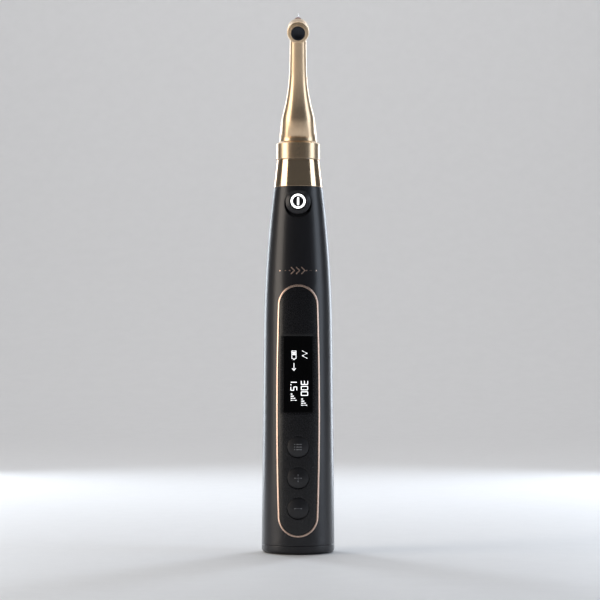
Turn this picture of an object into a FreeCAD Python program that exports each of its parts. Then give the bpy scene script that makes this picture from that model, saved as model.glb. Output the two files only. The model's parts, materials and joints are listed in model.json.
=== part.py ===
# A cordless endodontic motor: a tapered pen-shaped handpiece with a geared contra-angle and a file.
#
# Millimetres, +Z up. The origin is the centre of the flat tail face that the motor stands on.
# +Z runs up the handpiece to the head, and -Y is the front, with the display and the keys.
# The contra-angle's neck leans forwards by neck_lean at bend_height, and its head axis crosses the
# neck at right angles, so the file points backwards and a little up.

import FreeCAD, Part
import math
import os
import re

import Sketcher
from FreeCAD import Placement, Rotation, Vector

# Driving sizes: name, millimetres (degrees for the lean and the pressure angle), and what it is.
SIZES = [
    ("tail_radius", 13.4, "handpiece radius just above the end cap"),
    ("waist_radius", 12.65, "radius where the straight taper ends"),
    ("nose_radius", 9.05, "radius at the top of the shells"),
    ("cap_height", 3.2, "outer height of the end cap"),
    ("waist_height", 81.0, "height where the straight taper ends"),
    ("body_top", 134.5, "top of the two shells"),
    ("shell_wall", 1.8, "wall of the two shells"),
    ("cap_corner", 1.5, "rounding of the end cap's foot"),
    ("cap_floor", 1.6, "floor of the end cap"),
    ("cap_lip", 3.6, "height of the end cap's lip inside the shells"),
    ("cap_lip_wall", 0.8, "wall of that lip"),
    ("cap_screw_offset", 9.0, "end cap screws, from the axis"),
    ("screw_head_radius", 1.3, "end cap screw head"),
    ("screw_head_height", 0.9, "end cap screw head"),
    ("screw_head_sink", 0.3, "depth of a screw head below the foot"),
    ("screw_radius", 0.7, "end cap screw thread"),
    ("screw_length", 7.5, "end cap screw, head included"),
    ("coil_radius", 7.2, "charging coil"),
    ("coil_bore", 3.0, "hole in the charging coil"),
    ("coil_height", 1.0, "charging coil"),
    ("ferrite_height", 0.6, "ferrite sheet behind the coil"),
    ("panel_low", 6.4, "lowest point of the trim ring"),
    ("panel_high", 98.3, "highest point of the trim ring"),
    ("panel_end_radius", 7.43, "outer half width of the trim ring at its round ends"),
    ("panel_bulge", 0.62, "how far its long sides bow out"),
    ("panel_depth", 1.0, "thickness of the control panel"),
    ("trim_width", 0.72, "line width of the trim ring"),
    ("trim_rise", 0.22, "height of the trim ring above the skin"),
    ("lens_half_width", 5.4, "display window, half across"),
    ("lens_low", 51.6, "display window, lower edge"),
    ("lens_high", 79.4, "display window, upper edge"),
    ("lens_back", 10.0, "flat back of the display window, from the axis"),
    ("part_gap", 0.1, "gap round the display window and the keys"),
    ("module_margin", 0.45, "display module beyond its window"),
    ("board_front", 8.9, "front of the main board, from the axis"),
    ("board_thickness", 0.8, "main board"),
    ("board_half_width", 6.0, "main board, half across"),
    ("board_low", 9.6, "main board, lower edge"),
    ("board_high", 84.0, "main board, upper edge"),
    ("chip_width", 3.6, "components on the main board"),
    ("chip_height", 0.8, "components on the main board"),
    ("chip_spread", 0.6, "gap between the two columns of components"),
    ("key_radius", 3.85, "program, plus and minus keys"),
    ("key_flange", 0.55, "how far a key's flange stands out behind the shell"),
    ("key_flange_front", 10.15, "front of a key's flange, from the axis"),
    ("key_flange_thickness", 0.4, "flange of a key"),
    ("key_rim", 0.15, "rim of a key above the skin at its two sides"),
    ("key_crown", 0.55, "top of a key above the skin"),
    ("key_travel", 0.3, "how far a key is pressed"),
    ("switch_radius", 2.0, "tact switch under a key"),
    ("program_key_height", 39.2, "centre of the program key"),
    ("plus_key_height", 27.9, "centre of the plus key"),
    ("minus_key_height", 16.9, "centre of the minus key"),
    ("power_key_height", 127.7, "centre of the power key"),
    ("power_key_radius", 4.6, "power key"),
    ("power_key_tilt", 6.4, "lean of the power key's axis, square to the sloping skin"),
    ("power_key_rim", 0.45, "rim of the power key below the skin on its axis"),
    ("power_key_crown", 0.35, "flat middle of the power key above the skin"),
    ("power_key_flat", 3.3, "radius of that flat"),
    ("power_key_skirt", 2.0, "skirt of the power key below the skin"),
    ("power_key_wall", 1.2, "top wall of the power key"),
    ("icon_radius", 2.7, "outer radius of the lit ring in the power key"),
    ("icon_line", 0.68, "line width of the lit ring and bar"),
    ("icon_bar", 3.0, "length of the lit bar"),
    ("icon_depth", 0.5, "thickness of the light guide"),
    ("power_board_radius", 3.3, "small round board behind the power key"),
    ("power_board_thickness", 0.5, "small round board behind the power key"),
    ("power_switch_gap", 0.32, "room for the power key's travel"),
    ("battery_radius", 9.1, "18500 cell"),
    ("battery_length", 49.5, "18500 cell"),
    ("battery_offset", 1.75, "cell behind the handpiece axis"),
    ("battery_low", 9.0, "foot of the cell"),
    ("contact_thickness", 0.6, "leaf contacts at the cell's ends"),
    ("contact_radius", 3.0, "leaf contacts at the cell's ends"),
    ("frame_plate", 0.7, "frame plate between the cell and the board"),
    ("frame_half_width", 6.3, "frame plate, half across"),
    ("frame_disc", 1.2, "cross walls of the frame"),
    ("frame_foot_radius", 11.1, "lowest cross wall"),
    ("frame_head_radius", 10.0, "highest cross wall"),
    ("frame_head", 94.0, "underside of the highest cross wall"),
    ("boss_radius", 1.5, "bosses for the end cap screws"),
    ("motor_board_radius", 9.0, "round driver board under the motor"),
    ("motor_radius", 6.5, "motor can"),
    ("motor_wall", 0.5, "motor can"),
    ("motor_tail", 2.0, "plate that closes the motor"),
    ("motor_top", 131.2, "top of the motor can"),
    ("motor_bearing_radius", 3.0, "motor bearings"),
    ("motor_bearing_height", 2.0, "motor bearings"),
    ("winding_length", 24.0, "stator winding"),
    ("winding_bore", 3.4, "hole in the winding"),
    ("magnet_radius", 3.0, "rotor magnet"),
    ("magnet_length", 22.0, "rotor magnet"),
    ("shaft_radius", 1.0, "motor shaft and input shaft"),
    ("run_gap", 0.03, "radial running clearance of shafts in bearings"),
    ("socket_radius", 7.15, "coupling socket"),
    ("socket_bore", 5.7, "coupling socket"),
    ("socket_web", 1.4, "floor of the socket on the motor"),
    ("socket_top", 144.2, "mouth of the socket"),
    ("nose_top", 144.6, "top of the polished nose ring"),
    ("nose_tip_radius", 7.85, "nose ring at its top"),
    ("dog_radius", 2.2, "drive dog"),
    ("dog_low", 133.2, "foot of the drive dog"),
    ("dog_high", 136.4, "top of the drive dog"),
    ("dog_slot", 1.1, "slot in the drive dog"),
    ("dog_slot_floor", 134.8, "floor of that slot"),
    ("tang_play", 0.05, "play of the tang in the slot, each side"),
    ("spigot_gap", 0.05, "radial running clearance of the spigot in the socket"),
    ("spigot_bore", 4.3, "hole in the spigot"),
    ("spigot_low", 138.6, "foot of the spigot"),
    ("spigot_seat", 144.7, "underside of the spigot's flange"),
    ("spigot_flange", 0.8, "flange of the spigot"),
    ("sleeve_radius", 7.0, "outside of the gear sleeve above the flange"),
    ("sleeve_bore", 6.3, "inside of the gear sleeve"),
    ("sleeve_top", 150.0, "top of the gear sleeve"),
    ("pin_radius", 0.5, "locating pins"),
    ("pin_reach", 6.9, "locating pins, from the axis"),
    ("pin_height", 143.2, "locating pins"),
    ("pin_play", 0.08, "play of a pin in its slot"),
    ("ring_radius", 0.4, "section of the rubber ring on the spigot"),
    ("ring_height", 140.4, "middle of the rubber ring"),
    ("clip_low", 147.0, "retaining ring, underside"),
    ("clip_height", 0.7, "retaining ring"),
    ("clip_bite", 0.25, "groove depth of the retaining ring, each side"),
    ("gear_module", 0.3, "planetary gears"),
    ("pressure_angle", 25.0, "all gears"),
    ("sun_teeth", 12, "sun gear"),
    ("planet_teeth", 12, "planet gears"),
    ("ring_teeth", 36, "ring gear"),
    ("gear_low", 146.0, "underside of the planet gears"),
    ("gear_width", 3.0, "planet gears"),
    ("planet_pin_radius", 0.5, "planet pins"),
    ("backlash", 0.03, "taken off each tooth flank"),
    ("carrier_radius", 5.0, "planet carrier"),
    ("carrier_low", 149.3, "underside of the carrier"),
    ("carrier_thickness", 1.0, "planet carrier"),
    ("input_shoulder", 1.0, "shoulder between the tang and the input shaft"),
    ("bend_height", 152.0, "where the neck axis leaves the handpiece axis"),
    ("neck_lean", 20.0, "lean of the neck"),
    ("neck_length", 41.5, "from the bend to the head axis"),
    ("bend_module", 0.5, "pair of gears at the bend"),
    ("bend_teeth", 12, "pair of gears at the bend"),
    ("bend_face", 1.2, "tooth length at the bend"),
    ("collar_radius", 8.05, "satin collar"),
    ("collar_low", 144.8, "foot of the collar"),
    ("collar_high", 150.6, "where the collar's chamfer starts"),
    ("collar_top", 151.3, "top of the collar"),
    ("swivel_gap", 0.1, "radial clearance of the collar on the sleeve"),
    ("base_radius", 7.05, "housing just above the collar"),
    ("base_cone_radius", 6.35, "straight part of the housing at its top"),
    ("base_cone_length", 7.1, "straight part of the housing, from the bend"),
    ("housing_lip", 0.9, "housing's spigot inside the collar"),
    ("neck_foot_radius", 6.7, "leaning shoulder at the bend"),
    ("gear_room_radius", 3.7, "room round the gear on the neck shaft"),
    ("gear_room_depth", 1.4, "that room below the bend, along the neck"),
    ("neck_bearing_seat", 4.1, "lower neck bearing, from the bend"),
    ("upper_bearing_back", 7.0, "upper neck bearing, back from the head axis"),
    ("base_spigot", 6.2, "housing spigot inside the collar"),
    ("base_bore", 5.3, "room for the gears above the sleeve"),
    ("shoulder_radius", 6.05, "leaning shoulder at its upper edge"),
    ("shoulder_length", 8.9, "leaning shoulder, along the neck"),
    ("throat_radius", 3.2, "neck where the flare ends"),
    ("throat_length", 26.0, "neck where the flare ends"),
    ("flare_arc", 70.0, "radius of the concave flare"),
    ("neck_tip_radius", 2.9, "neck at the head"),
    ("neck_bore", 2.2, "bore of the neck"),
    ("neck_shaft_radius", 0.8, "shaft in the neck"),
    ("neck_bearing_radius", 2.6, "lower neck bearing"),
    ("neck_bearing_height", 2.0, "neck bearings"),
    ("head_radius", 4.0, "head barrel"),
    ("head_tip_radius", 2.9, "head at the file end"),
    ("head_back", 5.4, "cap end of the head barrel, from the neck axis"),
    ("head_front", 5.8, "file end of the head barrel, from the neck axis"),
    ("head_bore", 3.2, "inside of the head"),
    ("head_edge", 0.5, "rounded edges of the head barrel"),
    ("head_bow", 15.0, "radius of the barrel's curve towards the file"),
    ("head_front_wall", 1.5, "wall at the file end of the head"),
    ("chuck_nose_gap", 0.15, "gap round the chuck where it leaves the head"),
    ("head_module", 0.28, "gears in the head"),
    ("pinion_teeth", 12, "pinion on the neck shaft"),
    ("chuck_teeth", 18, "gear on the chuck"),
    ("head_face", 0.8, "tooth length in the head"),
    ("pinion_back", 3.6, "back of the pinion, from the head axis"),
    ("neck_shaft_back", 2.9, "end of the neck shaft, from the head axis"),
    ("chuck_gear_back", 2.6, "back of the chuck's gear, from the neck axis"),
    ("chuck_radius", 1.6, "chuck spindle in the middle"),
    ("chuck_nose_radius", 1.88, "chuck spindle in its front bearing"),
    ("chuck_tail_radius", 1.5, "chuck spindle in its rear bearing"),
    ("head_bearing_height", 1.2, "bearings in the head"),
    ("cap_radius", 2.5, "press cap"),
    ("cap_ring_radius", 2.9, "ring round the press cap"),
    ("cap_ring_rise", 1.0, "ring round the press cap, above the head"),
    ("cap_proud", 0.2, "press cap above its ring"),
    ("cap_dish", 0.35, "hollow of the press cap"),
    ("cap_thread", 1.4, "thread of the cap's ring in the head"),
    ("cap_flange", 0.25, "flange that holds the press cap in its ring"),
    ("cap_rim", 0.5, "flat rim round the cap's hollow"),
    ("cap_edge", 0.12, "chamfer of the press cap"),
    ("cap_travel", 0.8, "how far the press cap moves"),
    ("spring_height", 0.2, "pressed wave spring under the cap"),
    ("spring_gap", 0.45, "wave spring inside the head bore and round the chuck"),
    ("file_shank_radius", 1.175, "latch-type shank, 2.35 across"),
    ("file_shank_start", -2.2, "inner end of the shank, from the neck axis"),
    ("file_shank_end", 8.0, "outer end of the shank"),
    ("shank_chamfer", 0.3, "outer end of the shank"),
    ("file_radius", 0.5, "shaft of the file"),
    ("file_flute_start", 16.0, "where the flutes start"),
    ("file_tip_radius", 0.125, "tip of the file"),
    ("file_point", 0.4, "length of the file's blunt point"),
    ("file_tip", 32.0, "tip of the file, from the neck axis"),
    ("stop_radius", 1.65, "silicone stop"),
    ("stop_start", 14.2, "inner face of the stop"),
    ("stop_thickness", 1.6, "silicone stop"),
    ("stop_rounding", 0.3, "edges of the silicone stop"),
    ("stop_gap", 0.04, "stop round the file's shaft"),
]

# Sizes that follow from the driving ones, each written once as a rule in their names.
RULES = {
    "taper": "(tail_radius - waist_radius) / (waist_height - cap_height)",
    "taper_slant": "sqrt(1 + taper ^ 2)",
    "clear_reach": "tail_radius * 1.5",
    "shoulder_rise": "body_top - waist_height",
    "shoulder_step": "waist_radius - nose_radius",
    "body_arc": "(shoulder_rise ^ 2 + shoulder_step ^ 2) * taper_slant"
                " / (2 * (shoulder_step - shoulder_rise * taper))",
    "body_arc_across": "waist_radius - body_arc / taper_slant",
    "body_arc_up": "waist_height - body_arc * taper / taper_slant",
    "panel_side_low": "panel_low + panel_end_radius",
    "panel_side_high": "panel_high - panel_end_radius",
    "panel_side_arc": "(((panel_side_high - panel_side_low) / 2) ^ 2 + panel_bulge ^ 2) / (2 * panel_bulge)",
    "power_skin": "body_arc_across + sqrt(body_arc ^ 2 - (power_key_height - body_arc_up) ^ 2)",
    "frame_front": "board_front - board_thickness",
    "battery_high": "battery_low + battery_length",
    "motor_board_low": "frame_head + frame_disc",
    "motor_low": "motor_board_low + board_thickness",
    "can_low": "motor_low + motor_tail",
    "winding_low": "(can_low + motor_top - winding_length) / 2",
    "magnet_low": "(can_low + motor_top - magnet_length) / 2",
    "spigot_radius": "socket_bore - spigot_gap",
    "gear_floor": "spigot_seat + spigot_flange",
    "sun_radius": "gear_module * sun_teeth / 2",
    "planet_radius": "gear_module * planet_teeth / 2",
    "planet_orbit": "sun_radius + planet_radius",
    "carrier_high": "carrier_low + carrier_thickness",
    "head_forward": "-neck_length * sin(neck_lean)",
    "head_height": "bend_height + neck_length * cos(neck_lean)",
    "housing_low": "collar_top - housing_lip",
    "head_rear": "cap_thread + part_gap - head_back",
    "front_bearing": "head_front - head_front_wall - head_bearing_height",
}

KEEP = {"sqrt", "sin", "cos", "tan"}
NODES = []

DOC = FreeCAD.newDocument("endodontic_motor")
SHEET = DOC.addObject("Spreadsheet::Sheet", "Size")
for row, (size_name, size_value, meaning) in enumerate(SIZES, start=1):
    SHEET.set(f"A{row}", size_name)
    SHEET.set(f"B{row}", str(size_value))
    SHEET.setAlias(f"B{row}", size_name)
    SHEET.set(f"C{row}", meaning)
DOC.recompute()


def formula(rule):
    """Spell a rule out in cells of the sheet, so that an expression can read it."""

    def spell(match):
        word = match.group(0)
        if word in KEEP:
            return word
        return f"({formula(RULES[word])})" if word in RULES else "Size." + word

    return re.sub(r"[a-z][a-z_]+", spell, rule)


def amount(rule):
    """The number that a rule comes to."""
    return float(SHEET.evalExpression(formula(rule)))


# Skin of the handpiece: a straight taper and, above the waist, one arc tangent to it.

def skin(offset):
    """Corners of the skin, moved inwards by offset: tail, waist and nose."""
    tail = (f"tail_radius - ({offset})", "cap_height")
    waist = (f"waist_radius - ({offset}) / taper_slant", f"waist_height - ({offset}) * taper / taper_slant")
    nose = (f"body_arc_across + sqrt((body_arc - ({offset})) ^ 2 - (body_top - body_arc_up) ^ 2)", "body_top")
    return tail, waist, nose


def skin_radius(height):
    """Rule for the skin's radius on the straight taper."""
    return f"(tail_radius - taper * (({height}) - cap_height))"


def skin_arc(offset, side):
    return ("radius", f"body_arc - ({offset})", side)


def inside_skin(offset):
    """Everything nearer to the axis than the skin moved inwards by offset."""
    tail, waist, nose = skin(offset)
    return [("0", "cap_height"), tail, waist + (skin_arc(offset, 1),), nose, ("0", "body_top")]


def outside_skin(offset):
    """Everything further from the axis than that, out to twice the tail's radius."""
    tail, waist, nose = skin(offset)
    far = "tail_radius * 2"
    return [tail, (far, "cap_height"), (far, "body_top"), nose + (skin_arc(offset, -1),), waist]


def pill(inset):
    """The control panel's outline: round ends and long sides that bow out a little."""
    half = f"(panel_end_radius - ({inset}))"
    end = ("centre_y", None, 1)
    side = ("radius", "panel_side_arc", 1)
    low, high = "panel_side_low", "panel_side_high"
    top_end = end[:1] + (high,) + end[2:]
    low_end = end[:1] + (low,) + end[2:]
    return [(half, low, side), (half, high, top_end), ("-" + half, high, side), ("-" + half, low, low_end)]


def box_outline(half_width, low, high):
    return [(f"-({half_width})", low), (half_width, low), (half_width, high), (f"-({half_width})", high)]


# Sketches. A corner is (across, up) or (across, up, bend), where bend describes the arc that leaves it:
# what fixes it (its radius, or its centre's height), the rule for that, and 1 or -1 for a left or right turn.

def draw(sketch, outline):
    """Draw a closed outline and tie every corner and arc of it to the sheet."""
    corners = [Vector(amount(corner[0]), amount(corner[1]), 0) for corner in outline]
    edges = []
    for index, corner in enumerate(corners):
        target = corners[(index + 1) % len(corners)]
        bend = outline[index][2] if len(outline[index]) > 2 else None
        edge = sketch.addGeometry(arc_between(corner, target, bend) if bend
                                  else Part.LineSegment(corner, target), False)
        backwards = bool(bend) and bend[2] < 0
        edges.append((edge, 2 if backwards else 1, 1 if backwards else 2))
        if bend and bend[0] == "radius":
            tie(sketch, "Radius", (edge,), bend[1])
        elif bend:
            tie(sketch, "DistanceY", (-1, 1, edge, 3), bend[1])
    for index, (edge, start, _) in enumerate(edges):
        before, _, end = edges[index - 1]
        sketch.addConstraint(Sketcher.Constraint("Coincident", before, end, edge, start))
        for kind, axis, rule in (("DistanceX", -2, outline[index][0]), ("DistanceY", -1, outline[index][1])):
            if rule == "0":
                sketch.addConstraint(Sketcher.Constraint("PointOnObject", edge, start, axis))
            else:
                tie(sketch, kind, (-1, 1, edge, start), rule)


def arc_between(start, end, bend):
    """An arc up to a half circle from start to end, turning left (1) or right (-1)."""
    half = (end - start) * 0.5
    radius = amount(bend[1]) if bend[0] == "radius" else half.Length
    rise = math.sqrt(max(radius ** 2 - half.Length ** 2, 0.0))
    left = Vector(-half.y, half.x, 0).normalize() * bend[2]
    centre = start + half + left * rise
    first, last = (start, end) if bend[2] > 0 else (end, start)
    angles = [math.atan2(point.y - centre.y, point.x - centre.x) for point in (first, last)]
    if angles[1] < angles[0]:
        angles[1] += 2 * math.pi
    return Part.ArcOfCircle(Part.Circle(centre, Vector(0, 0, 1), radius), *angles)


def tie(sketch, kind, where, rule):
    """Add a dimension to a sketch and bind it to a rule."""
    index = sketch.addConstraint(Sketcher.Constraint(kind, *where, amount(rule)))
    sketch.setExpression(f"Constraints[{index}]", formula(rule))


def circle(sketch, across, up, radius):
    """Draw a circle tied to the sheet."""
    edge = sketch.addGeometry(Part.Circle(Vector(amount(across), amount(up), 0), Vector(0, 0, 1),
                                          amount(radius)), False)
    tie(sketch, "Radius", (edge,), radius)
    for kind, axis, rule in (("DistanceX", -2, across), ("DistanceY", -1, up)):
        if rule == "0":
            sketch.addConstraint(Sketcher.Constraint("PointOnObject", edge, 3, axis))
        else:
            tie(sketch, kind, (-1, 1, edge, 3), rule)


def new_sketch(body, role, outlines=(), circles=()):
    sketch = body.newObject("Sketcher::SketchObject", body.Name + "_sketch")
    plane = next(item for item in body.Origin.OriginFeatures if item.Role == role)
    sketch.AttachmentSupport = (plane, [""])
    sketch.MapMode = "FlatFace"
    for outline in outlines:
        draw(sketch, outline)
    for across, up, radius in circles:
        circle(sketch, across, up, radius)
    return sketch


# Ways of making a piece.

def new_body(name):
    body = DOC.addObject("PartDesign::Body", name)
    body.Label = name
    return body


def spin(body, outline, cut=False, angle=360, backwards=False):
    """Turn an outline of (radius, height) corners about the body's own Z axis."""
    kind = "Groove" if cut else "Revolution"
    sketch = new_sketch(body, "XZ_Plane", [outline])
    feature = body.newObject("PartDesign::" + kind, body.Name + "_" + kind.lower())
    feature.Profile = sketch
    feature.ReferenceAxis = (sketch, ["V_Axis"])
    feature.Angle = angle
    feature.Reversed = backwards
    return feature


def turned(name, outline):
    body = new_body(name)
    spin(body, outline)
    return body


def forward_pad(body, length, outlines=(), circles=()):
    """A prism from the handpiece's middle plane forwards to a distance from the axis."""
    pad = body.newObject("PartDesign::Pad", body.Name + "_pad")
    pad.Profile = new_sketch(body, "XZ_Plane", outlines, circles)
    pad.setExpression("Length", formula(length))
    return pad


def forward_pocket(body, length, outlines=(), circles=()):
    """A pocket from the middle plane forwards."""
    pocket = body.newObject("PartDesign::Pocket", body.Name + "_pocket")
    pocket.Profile = new_sketch(body, "XZ_Plane", outlines, circles)
    pocket.setExpression("Length", formula(length))
    pocket.Reversed = True
    return pocket


def slab(name, outlines, near, far):
    """A flat piece square to the front, between two distances from the axis."""
    body = new_body(name)
    forward_pad(body, far, outlines)
    forward_pocket(body, near, outlines[:1])
    return body


def cylinder(name, radius, low, high, behind="0", across="0"):
    piece = DOC.addObject("Part::Cylinder", name)
    piece.Label = name
    piece.setExpression("Radius", formula(radius))
    piece.setExpression("Height", formula(f"({high}) - ({low})"))
    place(piece, up=low, back=behind, across=across)
    return piece


def block(name, low, high):
    """A box between two corners, each a rule for X, Y and Z."""
    piece = DOC.addObject("Part::Box", name)
    piece.Label = name
    for prop, first, last in zip(("Length", "Width", "Height"), low, high):
        piece.setExpression(prop, formula(f"({last}) - ({first})"))
    place(piece, across=low[0], back=low[1], up=low[2])
    return piece


def place(piece, up="0", back="0", across="0", lean=None):
    """Stand a piece at a place, leaned about X by an angle rule."""
    rotation = Rotation(Vector(1, 0, 0), amount(lean)) if lean else Rotation()
    piece.Placement = Placement(Vector(amount(across), amount(back), amount(up)), rotation)
    for axis, rule in (("x", across), ("y", back), ("z", up)):
        if rule != "0":
            piece.setExpression("Placement.Base." + axis, formula(rule))
    if lean:
        piece.setExpression("Placement.Rotation.Angle", formula(lean))
    return piece


def on_neck(piece):
    """Local Z runs up the neck from the bend."""
    return place(piece, up="bend_height", lean="neck_lean")


def on_head(piece):
    """Local Z runs along the head axis towards the file's tip, from the neck axis."""
    return place(piece, up="head_height", back="head_forward", lean="neck_lean - 90")


def facing_front(piece, height):
    """Local Z points straight out of the front, from the handpiece axis."""
    return place(piece, up=height, lean="90")


def on_power_key(piece):
    """Local Z points squarely out of the skin at the power key, from the skin."""
    return place(piece, up="power_key_height", back="-power_skin", lean="90 - power_key_tilt")


def join(name, pieces):
    fused = DOC.addObject("Part::MultiFuse", name)
    fused.Shapes = pieces
    fused.Label = name
    return fused


def cut(name, base, tool):
    result = DOC.addObject("Part::Cut", name)
    result.Base = base
    result.Tool = tool
    result.Label = name
    return result


def group(name, pieces):
    """Separate solids that share one name."""
    compound = DOC.addObject("Part::Compound", name)
    compound.Links = pieces
    compound.Label = name
    return compound


def keep(*pieces):
    """These are finished pieces, each to be written under its label."""
    NODES.extend(pieces)


# Handpiece: shells, end cap and control panel.

KEY_HEIGHTS = {name: name + "_height" for name in ("program_key", "plus_key", "minus_key")}


def shell_blank(name, backwards):
    body = new_body(name)
    tail, waist, nose = skin("0")
    tail_in, waist_in, nose_in = skin("shell_wall")
    spin(body, [tail, waist + (skin_arc("0", 1),), nose, nose_in + (skin_arc("shell_wall", -1),),
                waist_in, tail_in], angle=180, backwards=backwards)
    return body


def make_shells():
    """Two half shells that meet at the sides; the front one has the panel's recess and its openings."""
    recess = new_body("panel_recess")
    forward_pad(recess, "clear_reach", [pill("0")])
    spin(recess, inside_skin("panel_depth"), cut=True)
    openings = new_body("panel_openings")
    forward_pad(openings, "clear_reach", [module_outline("part_gap")])
    key_holes = new_body("key_holes")
    forward_pad(key_holes, "clear_reach", circles=key_circles())
    power_hole = DOC.addObject("Part::Cylinder", "power_hole")
    power_hole.setExpression("Radius", formula("power_key_radius + part_gap"))
    power_hole.setExpression("Height", formula("power_skin"))
    place(power_hole, up="power_key_height - power_skin / 2 * sin(power_key_tilt)",
          back="-power_skin + power_skin / 2 * cos(power_key_tilt)", lean="90 - power_key_tilt")
    tools = join("front_openings", [recess, openings, key_holes, power_hole])
    keep(cut("front_shell", shell_blank("front_blank", True), tools), shell_blank("rear_shell", False))


def module_outline(extra):
    margin = f"module_margin + ({extra})"
    return box_outline(f"lens_half_width + {margin}", f"lens_low - ({margin})", f"lens_high + {margin}")


def key_circles():
    return [("0", height, "key_radius + part_gap") for height in KEY_HEIGHTS.values()]


def make_end_cap():
    """A rounded cap with a lip inside the shells, a charging coil on its floor and two screws."""
    lip = skin_radius("cap_height + cap_lip") + " - shell_wall"
    body = turned("end_cap_blank", [
        ("0", "0"), ("tail_radius - cap_corner", "0", ("radius", "cap_corner", 1)),
        ("tail_radius", "cap_corner"), ("tail_radius", "cap_height"), (lip, "cap_height"),
        (lip, "cap_height + cap_lip"),
        (f"{lip} - cap_lip_wall", "cap_height + cap_lip"), (f"{lip} - cap_lip_wall", "cap_floor"),
        ("0", "cap_floor")])
    holes, screws = [], []
    head_high = "screw_head_sink + screw_head_height"
    steps = (("screw", "screw_radius", "cap_height"), ("head", "screw_head_radius", head_high))
    for side, sign in (("left", "-"), ("right", "")):
        across = sign + "cap_screw_offset"
        for kind, radius, high in steps:
            holes.append(cylinder(f"{side}_{kind}_hole", f"{radius} + part_gap", "0", high, across=across))
        screws.append(place(turned(f"{side}_screw", [
            ("0", "screw_head_sink"), ("screw_head_radius", "screw_head_sink"),
            ("screw_head_radius", head_high), ("screw_radius", head_high),
            ("screw_radius", "screw_head_sink + screw_length"), ("0", "screw_head_sink + screw_length")]),
            across=across))
    coil = turned("charging_coil", [
        ("coil_bore", "cap_floor"), ("coil_radius", "cap_floor"), ("coil_radius", "cap_floor + coil_height"),
        ("coil_bore", "cap_floor + coil_height")])
    ferrite = cylinder("coil_ferrite", "coil_radius", "cap_floor + coil_height",
                       "cap_floor + coil_height + ferrite_height")
    keep(cut("end_cap", body, join("cap_screw_holes", holes)), group("cap_screws", screws), coil, ferrite)


def make_panel():
    """A curved control panel in the front shell's recess, framed by a raised trim ring."""
    panel = new_body("panel_cover")
    forward_pad(panel, "clear_reach", [pill("trim_width")])
    spin(panel, inside_skin("panel_depth"), cut=True)
    spin(panel, outside_skin("0"), cut=True)
    gap = "part_gap"
    window = box_outline(f"lens_half_width + {gap}", f"lens_low - {gap}", f"lens_high + {gap}")
    forward_pocket(panel, "tail_radius * 2", [window])
    forward_pocket(panel, "tail_radius * 2", circles=key_circles())
    trim = new_body("trim_ring")
    forward_pad(trim, "clear_reach", [pill("0"), pill("trim_width")])
    spin(trim, inside_skin("panel_depth"), cut=True)
    spin(trim, outside_skin("-trim_rise"), cut=True)
    lens = slab("display_lens", [box_outline("lens_half_width", "lens_low", "lens_high")],
                "lens_back", "clear_reach")
    spin(lens, outside_skin("0"), cut=True)
    module = slab("display_module", [module_outline("0")], "board_front", "lens_back")
    keep(panel, trim, lens, module)


def make_keys():
    """Three domed keys, each with a flange behind the shell, and a tact switch behind each."""
    switches = []
    for name, height in KEY_HEIGHTS.items():
        skin_here = skin_radius(height)
        rim = f"(sqrt({skin_here} ^ 2 - key_radius ^ 2) + key_rim)"
        crown = f"({skin_here} + key_crown)"
        dome = f"(key_radius ^ 2 + ({crown} - {rim}) ^ 2) / (2 * ({crown} - {rim}))"
        flange = "key_radius + key_flange"
        back = "key_flange_front - key_flange_thickness"
        key = turned(name, [
            ("0", back), (flange, back), (flange, "key_flange_front"), ("key_radius", "key_flange_front"),
            ("key_radius", rim, ("radius", dome, 1)), ("0", crown)])
        switch = turned(name.replace("key", "switch"), [
            ("0", "board_front"), ("switch_radius", "board_front"),
            ("switch_radius", f"{back} - key_travel - part_gap"), ("0", f"{back} - key_travel - part_gap")])
        keep(facing_front(key, height))
        switches.append(facing_front(switch, height))
    keep(group("key_switches", switches + [make_power_key()]))


def make_power_key():
    """A bevelled round key with a lit ring and bar let into it, and its board. Returns its switch."""
    inner = "power_key_radius - power_key_wall"
    floor = "power_key_crown - power_key_wall"
    key = turned("power_key_blank", [
        ("0", floor), (inner, floor), (inner, "-power_key_skirt"), ("power_key_radius", "-power_key_skirt"),
        ("power_key_radius", "-power_key_rim"), ("power_key_flat", "power_key_crown"),
        ("0", "power_key_crown")])
    on_power_key(key)
    low = "power_key_crown - icon_depth"
    ring = on_power_key(turned("icon_ring", [
        ("icon_radius - icon_line", low), ("icon_radius", low), ("icon_radius", "power_key_crown"),
        ("icon_radius - icon_line", "power_key_crown")]))
    bar = new_body("icon_bar_piece")
    pad = bar.newObject("PartDesign::Pad", "icon_bar_pad")
    pad.Profile = new_sketch(bar, "XY_Plane", [box_outline("icon_line / 2", "-icon_bar / 2", "icon_bar / 2")])
    pad.setExpression("Length", formula("icon_depth"))
    place(bar, up=f"power_key_height + ({low}) * sin(power_key_tilt)",
          back=f"-power_skin - ({low}) * cos(power_key_tilt)", lean="90 - power_key_tilt")
    icon = group("power_icon", [ring, bar])
    board_front = "-power_key_skirt - power_switch_gap"
    board_back = f"{board_front} - power_board_thickness"
    board = turned("power_board", [
        ("0", board_back), ("power_board_radius", board_back), ("power_board_radius", board_front),
        ("0", board_front)])
    switch_high = f"{floor} - power_switch_gap"
    switch = turned("power_switch", [
        ("0", board_front), ("switch_radius / 2", board_front), ("switch_radius / 2", switch_high),
        ("0", switch_high)])
    keep(cut("power_key", key, join("icon_tool", [ring, bar])), icon, on_power_key(board))
    return on_power_key(switch)


# Handpiece: board, cell and frame.

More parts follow.
